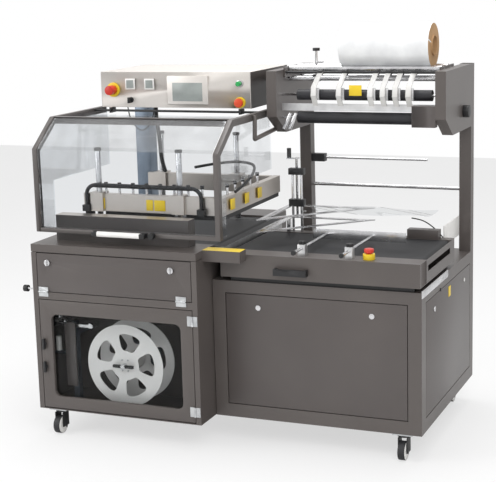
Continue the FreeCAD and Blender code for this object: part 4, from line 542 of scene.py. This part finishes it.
def dressHead():
    dress("film_head", paint, [(lambda x, y, z, n: 1461 < x < 1558 and y < 542, paintPanel),
                               (lambda x, y, z, n: 893 < x < 900 or 1550 < x < 1557, paintPanel)])
    dress("head_rods", bright, [(lambda x, y, z, n: x < 944 and y > 930, blackPlastic),
                                (lambda x, y, z, n: z < 1340 and z > 1300, aluminium)])
    for node in ("cradle_roller_front", "cradle_roller_rear", "idler_roller"):
        dress(node, bright)
    for node in ("nip_roller", "draw_roller"):
        dress(node, rubberRoll, [(lambda x, y, z, n: x < 962 or x > 1533, bright)])
    dress("film_roll", filmRoll, [(lambda x, y, z, n: (y - 700) ** 2 + (z - 1560.4) ** 2 < 43.0 ** 2, card)])
    dress("film_fingers", strapPlastic, [
        (lambda x, y, z, n: (y - 604) ** 2 + (z - 1458) ** 2 < 12 ** 2, blackPlastic),
    ])
    dress("film_stop", bright, [(lambda x, y, z, n: z > 1538 or z < 1443, blackPlastic)], 0.8)
    dress("head_knob", blackPlastic, edge=1.5)
    dress("side_knob", blackPlastic, [(lambda x, y, z, n: x > -37.9, bright)], 1.5)


def dressTable():
    dress("table_fittings", bright, [
        (lambda x, y, z, n: y < 122.1, blackPlastic),
        (lambda x, y, z, n: y < 200 and z > 786, aluminium),
        (lambda x, y, z, n: x > 1400 and y > 599, paintPanel),
        (lambda x, y, z, n: z > 1029, blackPlastic),
    ], 0.5)
    dress("former_carriage", bright, [(lambda x, y, z, n: z > 900, blackPlastic)], 0.5)
    dress("adjuster_crank", bright, [(lambda x, y, z, n: z > 1104, blackPlastic)], 0.6)
    dress("side_guide", bright, [(lambda x, y, z, n: y < 72.5, blackPlastic)], 0.5)
    for node in ("clamp_knob_left", "clamp_knob_right"):
        dress(node, blackPlastic, edge=0.8)


def dressWinder():
    dress("winder_base", blueAlloy, [(lambda x, y, z, n: x < 60 and 330 < z < 450, whitePlastic)])
    dress("dancer_arm", blackPlastic, [(lambda x, y, z, n: y > 95 or abs(n.y) > 0.9 and y < 84, bright)])
    dress("jaw_conduit", blackPlastic)


dressCabinets()
dressSealing()
dressControls()
dressHead()
dressTable()
dressWinder()
print("CAD pieces finished")


# the display and the two meter faces, thin eased plates on their surrounds
panelFace = {"screenLow": (402, 1339), "screenHigh": (541, 1417), "meters": (183, 275), "meterSize": 34,
             "meterLow": 1393, "front": 549, "back": 551, "edge": 0.3, "meterInset": (1, -1, 4, 0.4)}


def makePanelFaces():
    front, back, edge = (panelFace[key] for key in ("front", "back", "edge"))
    (x0, z0), (x1, z1) = panelFace["screenLow"], panelFace["screenHigh"]
    softBox("screen_display", (x0, front, z0), (x1, back, z1), screenGlass, "machine", edge)
    low, size = panelFace["meterLow"], panelFace["meterSize"]
    for number, x in enumerate(panelFace["meters"]):
        softBox(f"meter_face_{number}", (x, front, low), (x + size, back, low + size), screenGlass, "machine",
                edge, inset=panelFace["meterInset"])


# plain yellow patches where the machine warns of the hot jaws
patch = {"front": [(190, 250), (440, 470), (476, 525)], "frontY": (187.6, 189.6), "frontZ": 930,
         "side": [250, 400, 540], "sideX": (785.4, 786.8), "sideZ": 935, "sideLong": 46, "tall": 44, "edge": 0.2}


def makeJawPatches():
    low, high = patch["frontY"]
    top = patch["frontZ"] + patch["tall"]
    for number, (start, end) in enumerate(patch["front"]):
        softBox(f"jaw_patch_{number}", (start, low, patch["frontZ"]), (end, high, top), yellowPatch,
                "upper_jaw", patch["edge"])
    low, high = patch["sideX"]
    top = patch["sideZ"] + patch["tall"]
    for number, y in enumerate(patch["side"]):
        softBox(f"cross_patch_{number}", (low, y, patch["sideZ"]), (high, y + patch["sideLong"], top), yellowPatch,
                "upper_jaw", patch["edge"])


# spring posts with black caps, in a row along each jaw
post = {"low": 990, "top": 1026, "capLow": 1024, "capTop": 1038, "radius": 5, "capOver": 3,
        "frontY": 205, "frontX": 250, "frontPitch": 62, "frontCount": 8,
        "sideX": 765, "sideY": 270, "sidePitch": 80, "sideCount": 5}


def makeSpringPosts():
    rows = [(post["frontX"] + number * post["frontPitch"], post["frontY"]) for number in range(post["frontCount"])]
    rows += [(post["sideX"], post["sideY"] + number * post["sidePitch"]) for number in range(post["sideCount"])]
    posts = []
    for x, y in rows:
        posts.append(turned("post", (x, y, post["low"]), (x, y, post["top"]), post["radius"], bright, "upper_jaw"))
        posts.append(turned("post", (x, y, post["capLow"]), (x, y, post["capTop"]),
                            post["radius"] + post["capOver"], blackPlastic, "upper_jaw"))
    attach(joinPieces("jaw_spring_posts", posts), "upper_jaw")


# ridges of the corrugated conduit, along its straight top run
ridge = {"pitch": 7, "proud": 1.5, "bend": 40, "edge": 0.5, "vertices": 20}


def makeConduitRidges():
    low, high = (millimetres(corner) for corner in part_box("jaw_conduit"))
    radius = (high[1] - low[1]) / 2
    y, z = (low[1] + high[1]) / 2, high[2] - radius
    rings = []
    x = low[0] + ridge["bend"] + radius
    while x < high[0] - ridge["bend"] - radius:
        rings.append(turned("ring", (x, y, z), (x + ridge["pitch"] / 2, y, z), radius + ridge["proud"],
                            blackPlastic, "upper_jaw", ridge["edge"], ridge["vertices"]))
        x += ridge["pitch"]
    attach(joinPieces("conduit_ridges", rings), "upper_jaw")


# the yellow patch before the nip roller, and the grey pads that press the film on it
pad = {"across": (1051, 1158, 1289, 1341, 1392, 1446), "half": 15, "frontY": 536, "backY": 547, "low": 1352,
       "high": 1400, "edge": 2.0}
headPatch = {"low": (1195, 536, 1370), "high": (1247, 539, 1412), "edge": 0.3}


def makeHeadPieces():
    softBox("head_patch", headPatch["low"], headPatch["high"], yellowPatch, "machine", headPatch["edge"])
    for number, x in enumerate(pad["across"]):
        softBox(f"finger_pad_{number}", (x - pad["half"], pad["frontY"], pad["low"]),
                (x + pad["half"], pad["backY"], pad["high"]), aluminium, "film_fingers", pad["edge"])


# the film web that lies over the former and the rear of the table, with slow waves in it
film = {"low": (1010, 470), "high": (1540, 632), "up": 901, "cuts": 14, "wave": 4, "acrossTurn": 9, "alongTurn": 4}


def makeFilmWeb():
    clearSelection()
    bpy.ops.mesh.primitive_grid_add(x_subdivisions=film["cuts"] * 3, y_subdivisions=film["cuts"], size=1)
    sheet = bpy.context.object
    wide = (film["high"][0] - film["low"][0]) / 1000
    long = (film["high"][1] - film["low"][1]) / 1000
    middle = at((film["low"][0] + film["high"][0]) / 2, (film["low"][1] + film["high"][1]) / 2, film["up"])
    for vertex in sheet.data.vertices:
        across, along = vertex.co.x, vertex.co.y
        lift = math.sin(across * film["acrossTurn"] + along * film["alongTurn"]) * film["wave"] / 1000
        vertex.co = Vector((across * wide, along * long, lift)) + middle
    finishPiece(sheet, "film_web", filmClear, "machine")


# the reel: two enamelled discs with five rounded openings each, on a hub with a ring of bolts
reel = {"x": 378, "z": 307, "radius": 172, "discs": (60, 165), "thick": 3, "hub": 38, "shaft": 10, "openings": 5,
        "firstAngle": 78, "halfAngle": 24, "inner": 62, "outer": 134, "square": 0.45, "bolts": 6, "boltRing": 26,
        "boltRadius": 3.5, "gripLong": 92, "gripBar": 12, "gripFront": 36, "shaftFront": 34, "shaftBack": 200}


def addLoop(curve, points):
    spline = curve.splines.new("POLY")
    spline.points.add(len(points) - 1)
    for point, (x, y) in zip(spline.points, points):
        point.co = (x / 1000, y / 1000, 0, 1)
    spline.use_cyclic_u = True


def openingLine(middle):
    points = []
    for step in range(40):
        turn = 2 * math.pi * step / 40
        side = math.copysign(abs(math.cos(turn)) ** reel["square"], math.cos(turn))
        rise = math.copysign(abs(math.sin(turn)) ** reel["square"], math.sin(turn))
        angle = math.radians(middle + reel["halfAngle"] * side)
        radius = (reel["outer"] + reel["inner"]) / 2 + (reel["outer"] - reel["inner"]) / 2 * rise
        points.append((radius * math.cos(angle), radius * math.sin(angle)))
    return points


def makeReelDisc(front):
    curve = bpy.data.curves.new("disc", "CURVE")
    curve.dimensions = "2D"
    curve.fill_mode = "BOTH"
    curve.extrude = reel["thick"] / 2000 - 0.0004
    curve.bevel_depth = 0.0004
    turns = [2 * math.pi * step / 120 for step in range(120)]
    addLoop(curve, [(reel["radius"] * math.cos(turn), reel["radius"] * math.sin(turn)) for turn in turns])
    for number in range(reel["openings"]):
        addLoop(curve, openingLine(reel["firstAngle"] + 360 / reel["openings"] * number))
    disc = bpy.data.objects.new("disc", curve)
    bpy.context.scene.collection.objects.link(disc)
    pick(disc)
    bpy.ops.object.convert(target="MESH")
    disc = bpy.context.object
    disc.location = at(reel["x"], front + reel["thick"] / 2, reel["z"])
    disc.rotation_euler = (math.pi / 2, 0, 0)
    return finishPiece(disc, "disc", reelEnamel, "scrap_reel")


def makeReel():
    x, z = reel["x"], reel["z"]
    near, far = reel["discs"]
    parts = [makeReelDisc(front) for front in reel["discs"]]
    parts.append(turned("hub", (x, near + reel["thick"], z), (x, far, z), reel["hub"], reelEnamel, "scrap_reel"))
    parts.append(turned("shaft", (x, reel["shaftFront"], z), (x, reel["shaftBack"], z), reel["shaft"], bright,
                        "scrap_reel"))
    for number in range(reel["bolts"]):
        turn = 2 * math.pi * number / reel["bolts"]
        boltX, boltZ = x + reel["boltRing"] * math.cos(turn), z + reel["boltRing"] * math.sin(turn)
        parts.append(turned("bolt", (boltX, near - 3, boltZ), (boltX, near, boltZ), reel["boltRadius"], zinc,
                            "scrap_reel", 0.4, 16))
    half, bar, front = reel["gripLong"] / 2, reel["gripBar"], reel["gripFront"]
    parts.append(softBox("grip", (x - half, front, z - bar / 2), (x + half, front + bar, z + bar / 2), blackPlastic,
                         "scrap_reel", 2.0))
    whole = joinPieces("reel_modelled", parts)
    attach(whole, "scrap_reel")
    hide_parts("scrap_reel")


# dark rollers and a leaf of the film winder, seen behind the window at the left
winder = {"rollers": [(36, 496, 16), (64, 486, 12), (96, 500, 14), (120, 480, 10)], "front": 36, "back": 74,
          "leafLow": (98, 66, 195), "leafHigh": (148, 70, 468)}


def makeWinder():
    parts = []
    for x, z, radius in winder["rollers"]:
        front, back = winder["front"], winder["back"]
        parts.append(turned("roller", (x, front, z), (x, back, z), radius, blackPlastic, "machine"))
        parts.append(turned("axle", (x, front - 3, z), (x, front, z), radius / 3, bright, "machine"))
    parts.append(softBox("leaf", winder["leafLow"], winder["leafHigh"], paintPanel, "machine"))
    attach(joinPieces("winder_rollers", parts), "machine")


# round chromed locks of the flap, each with a small bar to turn
lock = {"rose": 13, "roseFront": -6, "barHalf": 3.5, "barTall": 12, "barFront": -13.5, "roseBack": -0.4, "up": 732}


def makeFlapLocks():
    for side in ("left", "right"):
        node = "flap_latch_" + side
        low, high = (millimetres(corner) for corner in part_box(node))
        x = (low[0] + high[0]) / 2
        z = lock["up"]
        rose = turned("rose", (x, lock["roseFront"], z), (x, lock["roseBack"], z), lock["rose"], bright, node)
        bar = softBox("bar", (x - lock["barHalf"], lock["barFront"], z - lock["barTall"]),
                      (x + lock["barHalf"], lock["roseFront"], z + lock["barTall"]), bright, node, 1.5)
        whole = joinPieces("flap_lock_" + side, [rose, bar])
        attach(whole, node)
        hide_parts(node)


# a smooth line through listed points, then close straight steps along it
def smoothLine(points, steps=12):
    ends = [points[0]] + list(points) + [points[-1]]
    line = []
    for a, b, c, d in zip(ends, ends[1:], ends[2:], ends[3:]):
        a, b, c, d = (Vector(point) for point in (a, b, c, d))
        for step in range(steps):
            t = step / steps
            line.append(0.5 * (2 * b + (c - a) * t + (2 * a - 5 * b + 4 * c - d) * t * t
                               + (3 * b - a - 3 * c + d) * t ** 3))
    return [at(*point) for point in line + [Vector(points[-1])]]


def makeTube(name, points, diameter, material, body):
    line = smoothLine(points)
    curve = bpy.data.curves.new(name, "CURVE")
    curve.dimensions = "3D"
    curve.bevel_depth = diameter / 2000
    curve.use_fill_caps = True
    spline = curve.splines.new("POLY")
    spline.points.add(len(line) - 1)
    for point, place in zip(spline.points, line):
        point.co = (*place, 1)
    tube = bpy.data.objects.new(name, curve)
    bpy.context.scene.collection.objects.link(tube)
    curve.materials.append(material)
    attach(tube, body)
    length = sum((b - a).length for a, b in zip(line, line[1:]))
    print(name, "length", round(length, 4))
    return tube, line[0], length


cords = [
    ("supply_hose", [(217, 758, 1306), (218, 758, 1240), (228, 758, 1150), (236, 758, 1060), (248, 766, 999)], 18,
     "machine", "medium"),
    ("supply_cable", [(105, 700, 1306), (122, 700, 1235), (172, 700, 1192), (222, 700, 1235), (239, 700, 1306)], 5,
     "machine", "limp"),
    ("jaw_hose", [(508, 522, 1062), (578, 615, 1068), (650, 672, 1068), (722, 650, 1060), (768, 540, 1044),
                  (790, 400, 1022), (782, 310, 1000)], 12, "upper_jaw", "medium"),
]


def makeCords():
    for name, points, diameter, body, stiffness in cords:
        tube, start, length = makeTube(name, points, diameter, blackPlastic, body)


# small fixed pieces round the hood's right, the left housing and the right rear of the table
extras = {"strut": [(838, 403, 1302), (838, 396, 1204), (850, 640, 1226)], "strutRadius": 9,
          "tubes": [((948, 520, 1298), (922, 512, 1234)), ((972, 520, 1298), (946, 512, 1234))], "tubeRadius": 8,
          "bracketLow": (1553, 652, 748), "bracketHigh": (1558, 905, 832),
          "wire": [(1420, 652, 860), (1470, 652, 850), (1515, 652, 822), (1552, 652, 785)], "wireThick": 5,
          "dots": [("black", 424, 622, 7), ("white", 818, 574, 8)], "sideFace": 1600, "dotOut": 3,
          "sidePatchLow": (1600.2, 552, 562), "sidePatchHigh": (1601.2, 586, 604)}


def makeExtras():
    top, elbow, tail = extras["strut"]
    bars = [turned("bar", top, elbow, extras["strutRadius"], paint, "machine"),
            turned("bar", elbow, tail, extras["strutRadius"], paint, "machine")]
    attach(joinPieces("side_strut", bars), "machine")
    tubes = [turned("tube", start, end, extras["tubeRadius"], bright, "machine") for start, end in extras["tubes"]]
    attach(joinPieces("slanted_tubes", tubes), "machine")
    softBox("rear_bracket", extras["bracketLow"], extras["bracketHigh"], whitePlastic, "machine")
    tube = makeTube("rear_wire", extras["wire"], extras["wireThick"], blackPlastic, "machine")[0]
    pick(tube)
    bpy.ops.object.convert(target="MESH")
    face = extras["sideFace"]
    for name, y, z, radius in extras["dots"]:
        turned("side_plug_" + name, (face + extras["dotOut"], y, z), (face + 0.2, y, z), radius,
               blackPlastic if name == "black" else whitePlastic, "machine")
    softBox("side_patch", extras["sidePatchLow"], extras["sidePatchHigh"], yellowPatch, "machine", 0.2)


makePanelFaces()
makeJawPatches()
makeSpringPosts()
makeConduitRidges()
makeHeadPieces()
makeFilmWeb()
makeReel()
makeWinder()
makeFlapLocks()
makeCords()
makeExtras()
print("details modelled")
